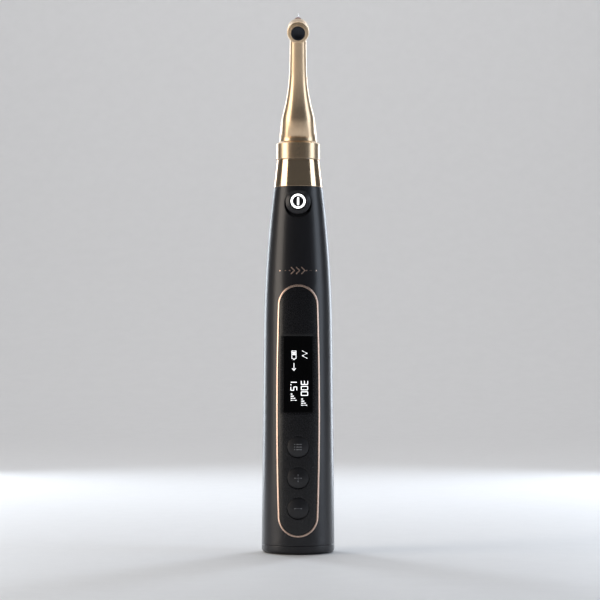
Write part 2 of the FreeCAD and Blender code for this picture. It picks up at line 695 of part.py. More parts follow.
def make_electronics():
    """The main board with its components, the cell and its two contacts."""
    board = slab("main_board", [box_outline("board_half_width", "board_low", "board_high")],
                 "board_front - board_thickness", "board_front")
    gaps = [("lens_low - module_margin", "program_key_height + key_radius + key_flange"),
            ("program_key_height - key_radius - key_flange", "plus_key_height + key_radius + key_flange"),
            ("plus_key_height - key_radius - key_flange", "minus_key_height + key_radius + key_flange")]
    chips = []
    for number, (high, low) in enumerate(gaps, start=1):
        for side, across in (("left", "-chip_spread / 2 - chip_width"), ("right", "chip_spread / 2")):
            corner = (across, "-board_front - chip_height", f"{low} + 2 * part_gap")
            chips.append(block(f"chip_{side}_{number}", corner,
                               (f"{across} + chip_width", "-board_front", f"{high} - 2 * part_gap")))
    cell = cylinder("battery_cell", "battery_radius", "battery_low", "battery_high", behind="battery_offset")
    contacts = [cylinder(f"contact_{end}", "contact_radius", low, f"{low} + contact_thickness",
                         behind="battery_offset")
                for end, low in (("low", "battery_low - contact_thickness"), ("high", "battery_high"))]
    driver = cylinder("motor_board", "motor_board_radius", "motor_board_low", "motor_low")
    keep(board, group("board_components", chips), cell, group("battery_contacts", contacts), driver)


def make_frame():
    """An inner frame: a plate between cell and board, cross walls, and bosses for the end cap screws."""
    foot = "battery_low - contact_thickness - frame_disc"
    plate = slab("frame_plate_piece", [box_outline("frame_half_width", foot, "frame_head")],
                 "frame_front - frame_plate", "frame_front")
    low_disc = cylinder("frame_foot", "frame_foot_radius", foot, f"{foot} + frame_disc")
    mid_disc = cylinder("frame_middle", "battery_radius + part_gap", "battery_high + contact_thickness",
                        "battery_high + contact_thickness + frame_disc", behind="battery_offset")
    head_disc = cylinder("frame_head_disc", "frame_head_radius", "frame_head", "motor_board_low")
    bosses, holes = [], []
    for side, sign in (("left", "-"), ("right", "")):
        across = sign + "cap_screw_offset"
        top = f"{foot} + frame_disc"
        bosses.append(cylinder(f"{side}_boss", "boss_radius", "cap_floor", top, across=across))
        holes.append(cylinder(f"{side}_boss_hole", "screw_radius", "cap_floor", f"{top} + part_gap",
                              across=across))
    solid = join("frame_solid", [plate, low_disc, mid_disc, head_disc] + bosses)
    keep(cut("inner_frame", solid, join("boss_holes", holes)))


# Handpiece: motor and coupling.

def make_motor():
    """A slim brushless motor: can, tail plate, winding, magnet, shaft and two bearings."""
    inner = "motor_radius - motor_wall"
    top_seat = "motor_top - motor_wall - motor_bearing_height"
    can = turned("motor_can", [
        (inner, "can_low"), ("motor_radius", "can_low"), ("motor_radius", "motor_top"),
        ("shaft_radius * 2", "motor_top"), ("shaft_radius * 2", "motor_top - motor_wall"),
        ("motor_bearing_radius", "motor_top - motor_wall"), ("motor_bearing_radius", top_seat),
        (inner, top_seat)])
    tail = turned("motor_tail_plate", [
        ("0", "motor_low"), ("motor_radius", "motor_low"), ("motor_radius", "can_low"), (inner, "can_low"),
        (inner, "can_low + motor_bearing_height"), ("motor_bearing_radius", "can_low + motor_bearing_height"),
        ("motor_bearing_radius", "can_low"), ("0", "can_low")])
    winding = turned("stator_winding", [
        ("winding_bore", "winding_low"), (inner, "winding_low"), (inner, "winding_low + winding_length"),
        ("winding_bore", "winding_low + winding_length")])
    magnet = turned("rotor_magnet", [
        ("shaft_radius", "magnet_low"), ("magnet_radius", "magnet_low"),
        ("magnet_radius", "magnet_low + magnet_length"), ("shaft_radius", "magnet_low + magnet_length")])
    shaft = cylinder("motor_shaft", "shaft_radius", "can_low + part_gap", "dog_slot_floor - part_gap * 2")
    bearings = [turned(f"motor_bearing_{end}", [
        ("shaft_radius + run_gap", low), ("motor_bearing_radius", low),
        ("motor_bearing_radius", f"{low} + motor_bearing_height"),
        ("shaft_radius + run_gap", f"{low} + motor_bearing_height")])
        for end, low in (("low", "can_low"), ("high", top_seat))]
    keep(can, tail, winding, magnet, shaft, group("motor_bearings", bearings))


def make_coupling():
    """The motor's drive dog, and the socket and nose ring that take the contra-angle."""
    dog_blank = turned("dog_blank", [
        ("0", "dog_slot_floor - part_gap * 2"), ("shaft_radius", "dog_slot_floor - part_gap * 2"),
        ("shaft_radius", "dog_low"), ("dog_radius", "dog_low"), ("dog_radius", "dog_high"),
        ("0", "dog_high")])
    slot = block("dog_slot_tool", ("-dog_radius * 2", "-dog_slot / 2", "dog_slot_floor"),
                 ("dog_radius * 2", "dog_slot / 2", "dog_high * 2"))
    socket_blank = turned("socket_blank", [
        ("motor_bearing_radius - motor_wall", "motor_top"), ("motor_radius", "motor_top"),
        ("motor_radius", "motor_top + socket_web"), ("socket_radius", "motor_top + socket_web"),
        ("socket_radius", "socket_top"), ("socket_bore", "socket_top"),
        ("socket_bore", "motor_top + socket_web"),
        ("motor_bearing_radius - motor_wall", "motor_top + socket_web")])
    half_slot = "pin_radius + pin_play"
    pin_slot = block("pin_slot_tool", ("-tail_radius", f"-({half_slot})", f"pin_height - ({half_slot})"),
                     ("tail_radius", half_slot, "body_top * 2"))
    nose = turned("nose_ring", [
        ("socket_radius", "body_top"), ("nose_radius", "body_top"), ("nose_tip_radius", "nose_top"),
        ("socket_radius", "nose_top")])
    keep(cut("drive_dog", dog_blank, slot), cut("coupling_socket", socket_blank, pin_slot), nose)


def make_spigot():
    """The contra-angle's spigot and gear sleeve, with its pins, rubber ring, bearing and retaining ring."""
    ring_inner = "spigot_radius - 2 * ring_radius"
    groove_low = "ring_height - ring_radius - part_gap"
    groove_high = "ring_height + ring_radius + part_gap"
    clip_groove = "sleeve_radius - clip_bite"
    spigot = turned("spigot_blank", [
        ("spigot_bore", "spigot_low"), ("spigot_radius", "spigot_low"), ("spigot_radius", groove_low),
        (ring_inner, groove_low), (ring_inner, groove_high), ("spigot_radius", groove_high),
        ("spigot_radius", "spigot_seat"), ("sleeve_radius", "spigot_seat"),
        ("sleeve_radius", "clip_low"), (clip_groove, "clip_low"), (clip_groove, "clip_low + clip_height"),
        ("sleeve_radius", "clip_low + clip_height"),
        ("sleeve_radius", "sleeve_top"), ("sleeve_bore", "sleeve_top"), ("sleeve_bore", "gear_floor"),
        ("shaft_radius * 2", "gear_floor"), ("shaft_radius * 2", "spigot_seat"),
        ("spigot_bore", "spigot_seat")])
    pins, pin_holes = [], []
    for side, start, end in (("left", "-pin_reach", "-spigot_bore - part_gap"),
                             ("right", "spigot_bore + part_gap", "pin_reach")):
        for kind, collection in (("pin", pins), ("pin_hole", pin_holes)):
            pin = DOC.addObject("Part::Cylinder", f"{side}_{kind}")
            pin.setExpression("Radius", formula("pin_radius"))
            pin.setExpression("Height", formula(f"({end}) - ({start})"))
            pin.Placement = Placement(Vector(amount(start), 0, amount("pin_height")),
                                      Rotation(Vector(0, 1, 0), 90))
            pin.setExpression("Placement.Base.x", formula(start))
            pin.setExpression("Placement.Base.z", formula("pin_height"))
            collection.append(pin)
    rubber = DOC.addObject("Part::Torus", "spigot_o_ring")
    rubber.setExpression("Radius1", formula("spigot_radius - ring_radius"))
    rubber.setExpression("Radius2", formula("ring_radius"))
    place(rubber, up="ring_height")
    bearing_low = "spigot_low + 4 * part_gap"
    bearing = turned("input_bearing", [
        ("shaft_radius + run_gap", bearing_low), ("spigot_bore", bearing_low),
        ("spigot_bore", f"{bearing_low} + motor_bearing_height"),
        ("shaft_radius + run_gap", f"{bearing_low} + motor_bearing_height")])
    clip = turned("retaining_ring", [
        (clip_groove, "clip_low"), ("sleeve_radius + swivel_gap + clip_bite", "clip_low"),
        ("sleeve_radius + swivel_gap + clip_bite", "clip_low + clip_height"),
        (clip_groove, "clip_low + clip_height")])
    bush = turned("carrier_bush", [
        ("carrier_radius + run_gap", "carrier_low"), ("sleeve_bore", "carrier_low"),
        ("sleeve_bore", "sleeve_top"),
        ("carrier_radius + run_gap", "sleeve_top")])
    keep(cut("coupling_spigot", spigot, join("pin_holes", pin_holes)), group("locating_pins", pins),
         rubber, group("coupling_bearings", [bearing, bush]), clip)


# Gears. A tooth's flanks are involutes of the gear's own pitch circle, or of the circle on the back cone.
# Heights of teeth are in modules, and TOOTH_SINK is how far a tooth goes into the disc that it stands on.

ADDENDUM = 0.95
DEDENDUM = 1.25
TOOTH_SINK = 0.1
RING_TIP = 0.75
FLANK_STEPS = 4


def tooth_flank(teeth, module, thinning, low, high):
    """Points (rise above the pitch circle, half width) up one flank, from low to high modules."""
    pressure = math.radians(amount("pressure_angle"))
    pitch = module * teeth / 2
    base = pitch * math.cos(pressure)
    at_pitch = math.pi / (2 * teeth) - thinning / pitch + math.tan(pressure) - pressure
    points = []
    for step in range(FLANK_STEPS + 1):
        radius = pitch + module * (low + (high - low) * step / FLANK_STEPS)
        roll = math.acos(min(base / radius, 1.0))
        half_angle = at_pitch - (math.tan(roll) - roll)
        points.append((radius * math.cos(half_angle) - pitch, radius * math.sin(half_angle)))
    return points


def tooth_section(flank):
    """One tooth's closed outline: up one flank and down the other."""
    return [(rise, -half) for rise, half in flank] + [(rise, half) for rise, half in reversed(flank)]


def closed_wire(points):
    return Part.makePolygon(points + points[:1])


def spur_teeth(teeth, module, thinning, low, high, width, phase):
    """Teeth of a straight gear round Z, as prisms standing on the XY plane."""
    pitch = module * teeth / 2
    section = tooth_section(tooth_flank(teeth, module, thinning, low, high))
    tooth = Part.Face(closed_wire([Vector(pitch + rise, half, 0) for rise, half in section]))
    tooth = tooth.extrude(Vector(0, 0, width))
    return [tooth.rotated(Vector(), Vector(0, 0, 1), phase + 360 * index / teeth) for index in range(teeth)]


def fused(solids):
    shape = solids[0].multiFuse(solids[1:])
    return shape.removeSplitter()


def spur_gear(teeth, width, bore, phase):
    """A straight gear with its teeth standing on a root disc."""
    module = amount("gear_module")
    root = module * teeth / 2 - DEDENDUM * module
    disc = Part.makeCylinder(root, width)
    cogs = spur_teeth(teeth, module, amount("backlash"), -DEDENDUM - TOOTH_SINK, ADDENDUM, width, phase)
    gear = fused([disc] + cogs)
    return gear.cut(Part.makeCylinder(bore, width)) if bore else gear


def bevel_gear(teeth, module, half_cone, face, back, bore, phase):
    """A straight bevel gear round Z: its cones' tip is at the origin and its teeth point up towards it."""
    cone = math.radians(half_cone)
    slant = module * teeth / 2 / math.sin(cone)
    shrink = (slant - face) / slant
    along = (math.sin(cone), -math.cos(cone))
    outwards = (math.cos(cone), math.sin(cone))

    def at(rise, scale):
        return tuple(scale * (slant * down + rise * out) for down, out in zip(along, outwards))

    foot = -DEDENDUM * module
    outer, inner = at(foot, 1.0), at(foot, shrink)
    corners = [(bore, back), (outer[0], back), outer, inner, (bore, inner[1])]
    blank = Part.Face(closed_wire([Vector(across, 0, up) for across, up in corners]))
    blank = blank.revolve(Vector(), Vector(0, 0, 1), 360)
    section = tooth_section(tooth_flank(teeth / math.cos(cone), module, amount("backlash"),
                                        -DEDENDUM - TOOTH_SINK, ADDENDUM))
    ends = []
    for scale in (1.0, shrink):
        points = [(at(rise, scale), half * scale) for rise, half in section]
        ends.append(closed_wire([Vector(spot[0], side, spot[1]) for spot, side in points]))
    tooth = Part.makeLoft(ends, True)
    cogs = [tooth.rotated(Vector(), Vector(0, 0, 1), phase + 360 * index / teeth) for index in range(teeth)]
    return fused([blank] + cogs)


def gear_feature(name, shape):
    feature = DOC.addObject("Part::Feature", name)
    feature.Label = name
    feature.Shape = shape
    return feature


def make_planetary():
    """Sun on the input shaft, three planets on the carrier's pins, and a fixed ring gear."""
    module = amount("gear_module")
    width = amount("gear_width")
    sun_teeth, planet_teeth, ring_teeth = (int(amount(f"{name}_teeth")) for name in ("sun", "planet", "ring"))
    sun = gear_feature("sun_gear", spur_gear(sun_teeth, width, amount("shaft_radius"), 0))
    sun.Placement = Placement(Vector(0, 0, amount("gear_low")), Rotation())
    keep(sun)
    for number in range(3):
        turn = 120 * number
        away = Rotation(Vector(0, 0, 1), turn).multVec(Vector(amount("planet_orbit"), 0, 0))
        bore = amount("planet_pin_radius + run_gap")
        planet = gear_feature(f"planet_gear_{number + 1}",
                              spur_gear(planet_teeth, width, bore, turn + 180 / planet_teeth))
        planet.Placement = Placement(Vector(away.x, away.y, amount("gear_low")), Rotation())
        keep(planet)
    spaces = spur_teeth(ring_teeth, module, -amount("backlash"), -RING_TIP - TOOTH_SINK, DEDENDUM, width,
                        180 / ring_teeth)
    hollow = Part.makeCylinder(module * (ring_teeth / 2 - RING_TIP), width)
    ring = Part.makeCylinder(amount("sleeve_bore"), width).cut(fused([hollow] + spaces))
    ring_piece = gear_feature("ring_gear", ring)
    ring_piece.Placement = Placement(Vector(0, 0, amount("gear_low")), Rotation())
    keep(ring_piece)


def make_input_shaft():
    """The input shaft, with a flat tang that the motor's dog drives."""
    tang_half = "dog_slot / 2 - tang_play"
    shoulder = "dog_high + part_gap * 2"
    shaft = turned("input_shaft_round", [
        ("0", shoulder), ("dog_radius - part_gap * 2", shoulder),
        ("dog_radius - part_gap * 2", f"{shoulder} + input_shoulder"),
        ("shaft_radius", f"{shoulder} + input_shoulder"), ("shaft_radius", "gear_low + gear_width"),
        ("0", "gear_low + gear_width")])
    tang_reach = "dog_radius - part_gap * 4"
    tang = block("input_tang", (f"-({tang_reach})", f"-({tang_half})", "dog_slot_floor + part_gap * 2"),
                 (tang_reach, tang_half, shoulder))
    keep(join("input_shaft", [shaft, tang]))


def make_carrier():
    """The planet carrier: a plate and three pins, and the first of the two gears at the bend."""
    body = new_body("planet_carrier")
    spin(body, [("0", "carrier_low"), ("carrier_radius", "carrier_low"), ("carrier_radius", "carrier_high"),
                ("0", "carrier_high")])
    pins = body.newObject("PartDesign::Pad", "carrier_pin")
    pins.Profile = new_sketch(body, "XY_Plane", circles=[("planet_orbit", "0", "planet_pin_radius")])
    pins.setExpression("Length", formula("carrier_low + part_gap"))
    clear = body.newObject("PartDesign::Pocket", "pin_trim")
    clear.Profile = new_sketch(body, "XY_Plane", circles=[("planet_orbit", "0", "planet_pin_radius * 2")])
    clear.setExpression("Length", formula("gear_low"))
    clear.Reversed = True
    DOC.recompute()
    pattern = body.newObject("PartDesign::PolarPattern", "carrier_pins")
    pattern.Originals = [pins, clear]
    pattern.Axis = (next(item for item in body.Origin.OriginFeatures if item.Role == "Z_Axis"), [""])
    pattern.Angle = 360
    pattern.Occurrences = 3
    body.Tip = pattern
    keep(body)
    teeth, module = int(amount("bend_teeth")), amount("bend_module")
    half_cone = (180 - amount("neck_lean")) / 2
    first = gear_feature("bend_drive_gear", bevel_gear(
        teeth, module, half_cone, amount("bend_face"), amount("carrier_high - bend_height"), 0, -90))
    first.Placement = Placement(Vector(0, 0, amount("bend_height")), Rotation())
    second = gear_feature("bend_driven_gear", bevel_gear(
        teeth, module, half_cone, amount("bend_face"), amount("carrier_high - bend_height"), 0,
        90 + 180 / teeth))
    second.Placement = Placement(Vector(0, 0, amount("bend_height")),
                                 Rotation(Vector(1, 0, 0), amount("neck_lean") + 180))
    keep(first, second)


# Contra-angle: collar, housing, neck shaft and head.

def make_collar():
    """The satin collar round the gear sleeve."""
    bore = "sleeve_radius + swivel_gap"
    groove = f"{bore} + clip_bite + part_gap"
    low = "clip_low - part_gap"
    high = "clip_low + clip_height + part_gap"
    keep(turned("collar", [
        (bore, "collar_low"), ("collar_radius", "collar_low"), ("collar_radius", "collar_high"),
        ("base_radius", "collar_top"), ("base_spigot", "collar_top"), ("base_spigot", "housing_low"),
        (bore, "housing_low"), (bore, high), (groove, high), (groove, low), (bore, low)]))


def make_housing():
    """Neck and head in one piece: a straight base, a leaning shoulder and flare, a slim neck, a barrel."""
    base = turned("housing_base", [
        ("0", "housing_low"), ("base_spigot", "housing_low"), ("base_spigot", "collar_top"),
        ("base_radius", "collar_top"), ("base_cone_radius", "bend_height + base_cone_length"),
        ("0", "bend_height + shoulder_length")])
    neck = on_neck(turned("housing_neck", [
        ("0", "0"), ("neck_foot_radius", "0"),
        ("shoulder_radius", "shoulder_length", ("radius", "flare_arc", -1)),
        ("throat_radius", "throat_length"), ("neck_tip_radius", "neck_length"), ("0", "neck_length")]))
    below = cylinder("below_collar_top", "tail_radius", "spigot_seat", "collar_top")
    shoulder = cut("housing_shoulder", neck, below)
    barrel = on_head(turned("housing_head", [
        ("0", "-head_back"), ("head_radius - head_edge", "-head_back", ("radius", "head_edge", 1)),
        ("head_radius", "-head_back + head_edge"), ("head_radius", "0", ("radius", "head_bow", 1)),
        ("head_tip_radius", "head_front - head_edge", ("radius", "head_edge", 1)),
        ("head_tip_radius - head_edge", "head_front"), ("0", "head_front")]))
    seat_top = "neck_bearing_seat + neck_bearing_height + part_gap"
    head_inner = "head_front - head_front_wall"
    nose_hole = "chuck_nose_radius + chuck_nose_gap"
    beyond = "neck_length"
    bores = [
        cylinder("base_room", "base_bore", "housing_low", "bend_height + bend_module"),
        on_neck(turned("neck_room", [
            ("0", "-gear_room_depth"), ("gear_room_radius", "-gear_room_depth"),
            ("gear_room_radius", "neck_bearing_seat"), ("neck_bearing_radius", "neck_bearing_seat"),
            ("neck_bearing_radius", seat_top), ("neck_bore", seat_top),
            ("neck_bore", "neck_length - head_bore / 2"), ("0", "neck_length - head_bore / 2")])),
        on_head(turned("head_room", [
            ("0", f"-{beyond}"), ("head_bore", f"-{beyond}"), ("head_bore", head_inner),
            (nose_hole, head_inner), (nose_hole, beyond), ("0", beyond)]))]
    solid = join("housing_solid", [base, shoulder, barrel])
    keep(cut("angle_housing", solid, join("housing_room", bores)))


def make_neck_drive():
    """The shaft in the neck with its two bearings and the pinion in the head."""
    hub = "bend_height - carrier_high"
    shaft_end = "neck_length - neck_shaft_back"
    shaft = on_neck(turned("neck_shaft", [
        ("0", hub), ("neck_shaft_radius", hub), ("neck_shaft_radius", shaft_end), ("0", shaft_end)]))
    upper = "neck_length - upper_bearing_back"
    bearings = [on_neck(turned(f"neck_bearing_{end}", [
        ("neck_shaft_radius + run_gap", low), (outer, low), (outer, f"{low} + neck_bearing_height"),
        ("neck_shaft_radius + run_gap", f"{low} + neck_bearing_height")]))
        for end, low, outer in (
            ("low", "neck_bearing_seat", "neck_bearing_radius"), ("high", upper, "neck_bore"))]
    teeth, mates = int(amount("pinion_teeth")), int(amount("chuck_teeth"))
    module = amount("head_module")
    half_cone = math.degrees(math.atan(teeth / mates))
    pinion = gear_feature("head_pinion", bevel_gear(
        teeth, module, half_cone, amount("head_face"), -amount("pinion_back"), amount("neck_shaft_radius"),
        -90))
    head = Vector(0, amount("head_forward"), amount("head_height"))
    pinion.Placement = Placement(head, Rotation(Vector(1, 0, 0), amount("neck_lean")))
    crown = gear_feature("chuck_gear", bevel_gear(
        mates, module, 90 - half_cone, amount("head_face"), -amount("chuck_gear_back"),
        amount("chuck_radius"), 90 + 180 / mates))
    crown.Placement = Placement(head, Rotation(Vector(1, 0, 0), amount("neck_lean") - 90))
    keep(shaft, group("neck_bearings", bearings), pinion, crown)


def make_head():
    """Chuck spindle, its bearings, the press cap with its ring and wave spring."""
    bore = "file_shank_radius + run_gap"
    tail = "head_rear - part_gap"
    nose = "head_front + 2 * part_gap"
    spindle = on_head(turned("chuck_spindle", [
        ("0", tail), ("chuck_tail_radius", tail), ("chuck_tail_radius", "-chuck_gear_back"),
        ("chuck_radius", "-chuck_gear_back"), ("chuck_radius", "front_bearing - 2 * part_gap"),
        ("chuck_nose_radius", "front_bearing - 2 * part_gap"), ("chuck_nose_radius", nose), (bore, nose),
        (bore, "file_shank_start - part_gap"), ("0", "file_shank_start - part_gap")]))
    bearings = [on_head(turned(f"head_bearing_{end}", [
        (f"{inner} + run_gap", low), ("head_bore", low), ("head_bore", high), (f"{inner} + run_gap", high)]))
        for end, inner, low, high in (
            ("rear", "chuck_tail_radius", "head_rear", "-chuck_gear_back - part_gap"),
            ("front", "chuck_nose_radius", "front_bearing", "front_bearing + head_bearing_height"))]
    ring_top = "-head_back - cap_ring_rise"
    flange = "cap_radius + cap_flange"
    ring = on_head(turned("cap_ring", [
        ("cap_radius + part_gap / 2", ring_top), ("cap_ring_radius", ring_top),
        ("cap_ring_radius", "-head_back"), ("head_bore", "-head_back"), ("head_bore", "head_rear - part_gap"),
        (f"{flange} + part_gap", "head_rear - part_gap"), (f"{flange} + part_gap", "-head_back"),
        ("cap_radius + part_gap / 2", "-head_back")]))
    cap_top = f"({ring_top} - cap_proud)"
    flange_low = "head_rear - spring_height - part_gap - cap_travel"
    cap = on_head(turned("press_cap", [
        ("0", f"{cap_top} + cap_dish"), ("cap_radius - cap_rim", cap_top), ("cap_radius - cap_edge", cap_top),
        ("cap_radius", f"{cap_top} + cap_edge"), ("cap_radius", "-head_back + part_gap"),
        (flange, "-head_back + part_gap"), (flange, flange_low), ("0", flange_low)]))
    spring_inner, spring_outer = "chuck_tail_radius + spring_gap", "head_bore - spring_gap"
    spring = on_head(turned("cap_spring", [
        (spring_inner, "head_rear - spring_height"), (spring_outer, "head_rear - spring_height"),
        (spring_outer, "head_rear"), (spring_inner, "head_rear")]))
    keep(spindle, group("head_bearings", bearings), ring, cap, spring)


def make_file():
    """The endodontic file: latch-type shank, tapered working part and a silicone stop."""
    start, end = "file_shank_start", "file_shank_end"
    shank = on_head(turned("file_shank", [
        ("0", start), ("file_shank_radius", start), ("file_shank_radius", f"{end} - shank_chamfer"),
        ("file_shank_radius - shank_chamfer", end), ("0", end)]))
    blade = on_head(turned("file_blade", [
        ("0", end), ("file_radius", end), ("file_radius", "file_flute_start"),
        ("file_tip_radius", "file_tip - file_point"), ("0", "file_tip")]))
    hole = "file_radius + stop_gap"
    near, far = "stop_start", "stop_start + stop_thickness"
    edge = ("radius", "stop_rounding", 1)
    stop = on_head(turned("file_stop", [
        (hole, near), ("stop_radius - stop_rounding", near, edge), ("stop_radius", f"{near} + stop_rounding"),
        ("stop_radius", f"{far} - stop_rounding", edge), ("stop_radius - stop_rounding", far), (hole, far)]))
    keep(shank, blade, stop)


def check(piece):
    """Stop if a piece's shape is missing, empty or broken."""
    shape = piece.Shape
    if shape.isNull() or not shape.isValid() or not shape.Solids:
        raise RuntimeError(f"{piece.Label} has no valid solid")


for make in (make_shells, make_end_cap, make_panel, make_keys, make_electronics, make_frame,
             make_motor, make_coupling, make_spigot, make_planetary, make_input_shaft, make_carrier,
             make_collar, make_housing, make_neck_drive, make_head, make_file):
    make()
DOC.recompute()

failed = [item.Name for item in DOC.Objects if {"Invalid", "Error"} & set(item.State)]
if failed:
    raise RuntimeError("not built: " + ", ".join(failed))
for node in NODES:
    check(node)
os.makedirs("parts", exist_ok=True)
for node in NODES:
    node.Shape.exportStep(os.path.join("parts", node.Label + ".step"))
print(len(NODES), "pieces")
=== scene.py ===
# %% [markdown]
# # A cordless endodontic motor
# A dentist's root canal motor is a slim handpiece that holds a cell, a circuit board and a small brushless
# motor. A gold contra-angle clicks onto its nose and carries a root canal file at a right angle.
# The real sizes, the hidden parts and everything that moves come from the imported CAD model, so the first
# cell loads it as a fixed frame. Every surface that the eye meets is then worked out again, finely.

# %% Load the frame
import json
import math
import bpy
import numpy as np
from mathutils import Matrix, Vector


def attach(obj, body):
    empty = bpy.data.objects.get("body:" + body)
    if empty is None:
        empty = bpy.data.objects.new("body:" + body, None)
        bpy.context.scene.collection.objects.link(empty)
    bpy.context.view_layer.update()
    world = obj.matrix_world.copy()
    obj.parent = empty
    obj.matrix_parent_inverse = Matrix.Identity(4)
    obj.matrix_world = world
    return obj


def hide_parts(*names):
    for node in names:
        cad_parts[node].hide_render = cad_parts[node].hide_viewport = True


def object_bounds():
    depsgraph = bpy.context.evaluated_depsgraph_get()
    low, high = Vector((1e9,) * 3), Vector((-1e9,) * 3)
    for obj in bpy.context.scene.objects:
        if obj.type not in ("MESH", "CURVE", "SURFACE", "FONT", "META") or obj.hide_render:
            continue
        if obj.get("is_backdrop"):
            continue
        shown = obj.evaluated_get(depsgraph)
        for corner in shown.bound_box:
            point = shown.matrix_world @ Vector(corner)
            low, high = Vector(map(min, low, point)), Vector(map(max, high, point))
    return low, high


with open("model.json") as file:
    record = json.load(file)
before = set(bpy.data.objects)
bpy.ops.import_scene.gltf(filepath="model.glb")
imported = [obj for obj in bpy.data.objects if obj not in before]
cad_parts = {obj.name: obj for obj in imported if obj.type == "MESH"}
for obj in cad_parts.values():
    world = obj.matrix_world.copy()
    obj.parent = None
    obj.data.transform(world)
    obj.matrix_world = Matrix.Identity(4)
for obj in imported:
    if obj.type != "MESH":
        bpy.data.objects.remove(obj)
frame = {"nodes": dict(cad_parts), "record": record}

cad_box = [list(corner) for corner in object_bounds()]
print("CAD box in mm", [[round(value * 1000, 1) for value in corner] for corner in cad_box])

# %% [markdown]
# ## From an array of points to a mesh
# Most pieces of this object are round, so most surfaces are stacks of rings. A ring is one row of an array,
# and two neighbouring rings are joined by quads. The faces come from index arithmetic on whole arrays,
# which is much faster than adding vertices one by one. The signed volume of the closed surface shows
# whether its faces point outwards, and they are turned round if they don't.

# %% Meshes from rings
MM = 0.001


def together(*values):
    """Coordinates of different shapes as one array whose last axis holds them side by side."""
    return np.stack(np.broadcast_arrays(*values), -1)


def ring_faces(rows, columns, wrap):
    """Quads between ring i and ring i + 1, where every ring closes on itself. With wrap the last ring
    meets the first, as on a hoop."""
    row = np.arange(rows if wrap else rows - 1)[:, None]
    column = np.arange(columns)[None, :]
    low, high, beside = row * columns, (row + 1) % rows * columns, (column + 1) % columns
    return together(low + column, low + beside, high + beside, high + column).reshape(-1, 4)


def fan_faces(first, columns, pole):
    """Triangles from one ring, whose first point has that number, to a single pole."""
    column = np.arange(columns)
    return np.stack([first + column, first + (column + 1) % columns, np.full(columns, pole)], -1)


def signed_volume(points, faces):
    """A sixth of the sum of a . (b x c) over triangles cut from each face, positive if faces point out."""
    total = 0.0
    for group in faces:
        for third in range(2, group.shape[1]):
            a, b, c = points[group[:, 0]], points[group[:, third - 1]], points[group[:, third]]
            total += np.einsum("ij,ij->", a, np.cross(b, c)) / 6
    return total


def add_object(name, data):
    """A new object of the scene, at the origin."""
    obj = bpy.data.objects.new(name, data)
    bpy.context.scene.collection.objects.link(obj)
    return obj


def smooth_object(name, points, faces):
    """An object with a smooth-shaded mesh, from points in metres."""
    mesh = bpy.data.meshes.new(name)
    mesh.from_pydata(points.tolist(), [], [face for group in faces for face in group.tolist()])
    mesh.polygons.foreach_set("use_smooth", np.ones(len(mesh.polygons), bool))
    mesh.update()
    return add_object(name, mesh)


def facing_out(points, faces):
    """The faces, all turned round if the surface is inside out."""
    return [group[:, ::-1] for group in faces] if signed_volume(points, faces) < 0 else faces


def mesh_piece(name, points, faces, body, slot, replaced=()):
    """One closed piece from points in millimetres. It rides on its body and stands for the CAD nodes."""
    obj = smooth_object(name, points * MM, facing_out(points, faces))
    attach(obj, body)
    if replaced:
        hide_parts(*replaced)
    print(name, "points", len(points), "faces", sum(len(group) for group in faces))
    return obj


def ring_surface(rings, poles=(None, None), wrap=False):
    """Points and faces of a stack of rings, an array of rows, columns and xyz. A pole is one point that
    closes the first or last ring with a fan."""
    rows, columns = rings.shape[:2]
    points = rings.reshape(-1, 3)
    faces = [ring_faces(rows, columns, wrap)]
    for pole, first, backwards in ((poles[0], 0, True), (poles[1], (rows - 1) * columns, False)):
        if pole is not None:
            fan = fan_faces(first, columns, len(points))
            faces.append(fan[:, ::-1] if backwards else fan)
            points = np.vstack([points, pole])
    return points, faces


def merged(parts):
    """Several closed surfaces as one list of points and faces, each numbered after the one before."""
    points, faces, start = [], [], 0
    for some_points, some_faces in parts:
        points.append(some_points)
        faces.extend(group + start for group in facing_out(some_points, some_faces))
        start += len(some_points)
    return np.vstack(points), faces


# %% [markdown]
# ## Turned pieces
# Rings, caps, collars and the contra-angle are turned on a lathe. A turned surface is an outline, given as
# radius and height, carried round an axis. Real edges are never knife sharp, and a small rounding is what
# catches the light, so each corner of an outline is softened first by a short parabola. Two extra points
# just outside it keep the smooth shading of the broad faces flat.

# %% Outlines and axes
MOST_OF_A_SIDE, SUPPORT_REACH = 0.3, 1.4


def rounded(outline, cut=0.12, closed=False, steps=5):
    """Corners P become (1-t)^2 A + 2t(1-t) P + t^2 B, where A and B lie on the two sides at the distance
    cut from P, with a support point a little further along each side."""
    corners = np.array(outline, float)
    cuts = np.broadcast_to(np.asarray(cut, float), len(corners))[:, None]
    back, ahead = np.roll(corners, 1, 0) - corners, np.roll(corners, -1, 0) - corners
    back_length = np.linalg.norm(back, axis=1, keepdims=True)
    ahead_length = np.linalg.norm(ahead, axis=1, keepdims=True)
    reach = np.minimum(cuts, MOST_OF_A_SIDE * np.minimum(back_length, ahead_length))
    back, ahead = back / back_length, ahead / ahead_length
    t = np.linspace(0, 1, steps)[None, :, None]
    start, end = (corners + back * reach)[:, None], (corners + ahead * reach)[:, None]
    curve = (1 - t) ** 2 * start + 2 * t * (1 - t) * corners[:, None] + t ** 2 * end
    supports = [(corners + side * reach * SUPPORT_REACH)[:, None] for side in (back, ahead)]
    curve = np.concatenate([supports[0], curve, supports[1]], axis=1)
    if closed:
        return curve.reshape(-1, 2)
    return np.vstack([corners[:1], curve[1:-1].reshape(-1, 2), corners[-1:]])


def spot(origin, axis):
    """A place to turn things: its origin and three directions, the last one along the axis."""
    along = np.array(axis, float) / np.linalg.norm(axis)
    side = np.array((1.0, 0.0, 0.0))
    return np.array(origin, float), np.stack([side, np.cross(along, side), along])


def at_spot(points, where):
    """Local x, y, z become origin + x side + y other side + z axis."""
    return where[0] + points @ where[1]


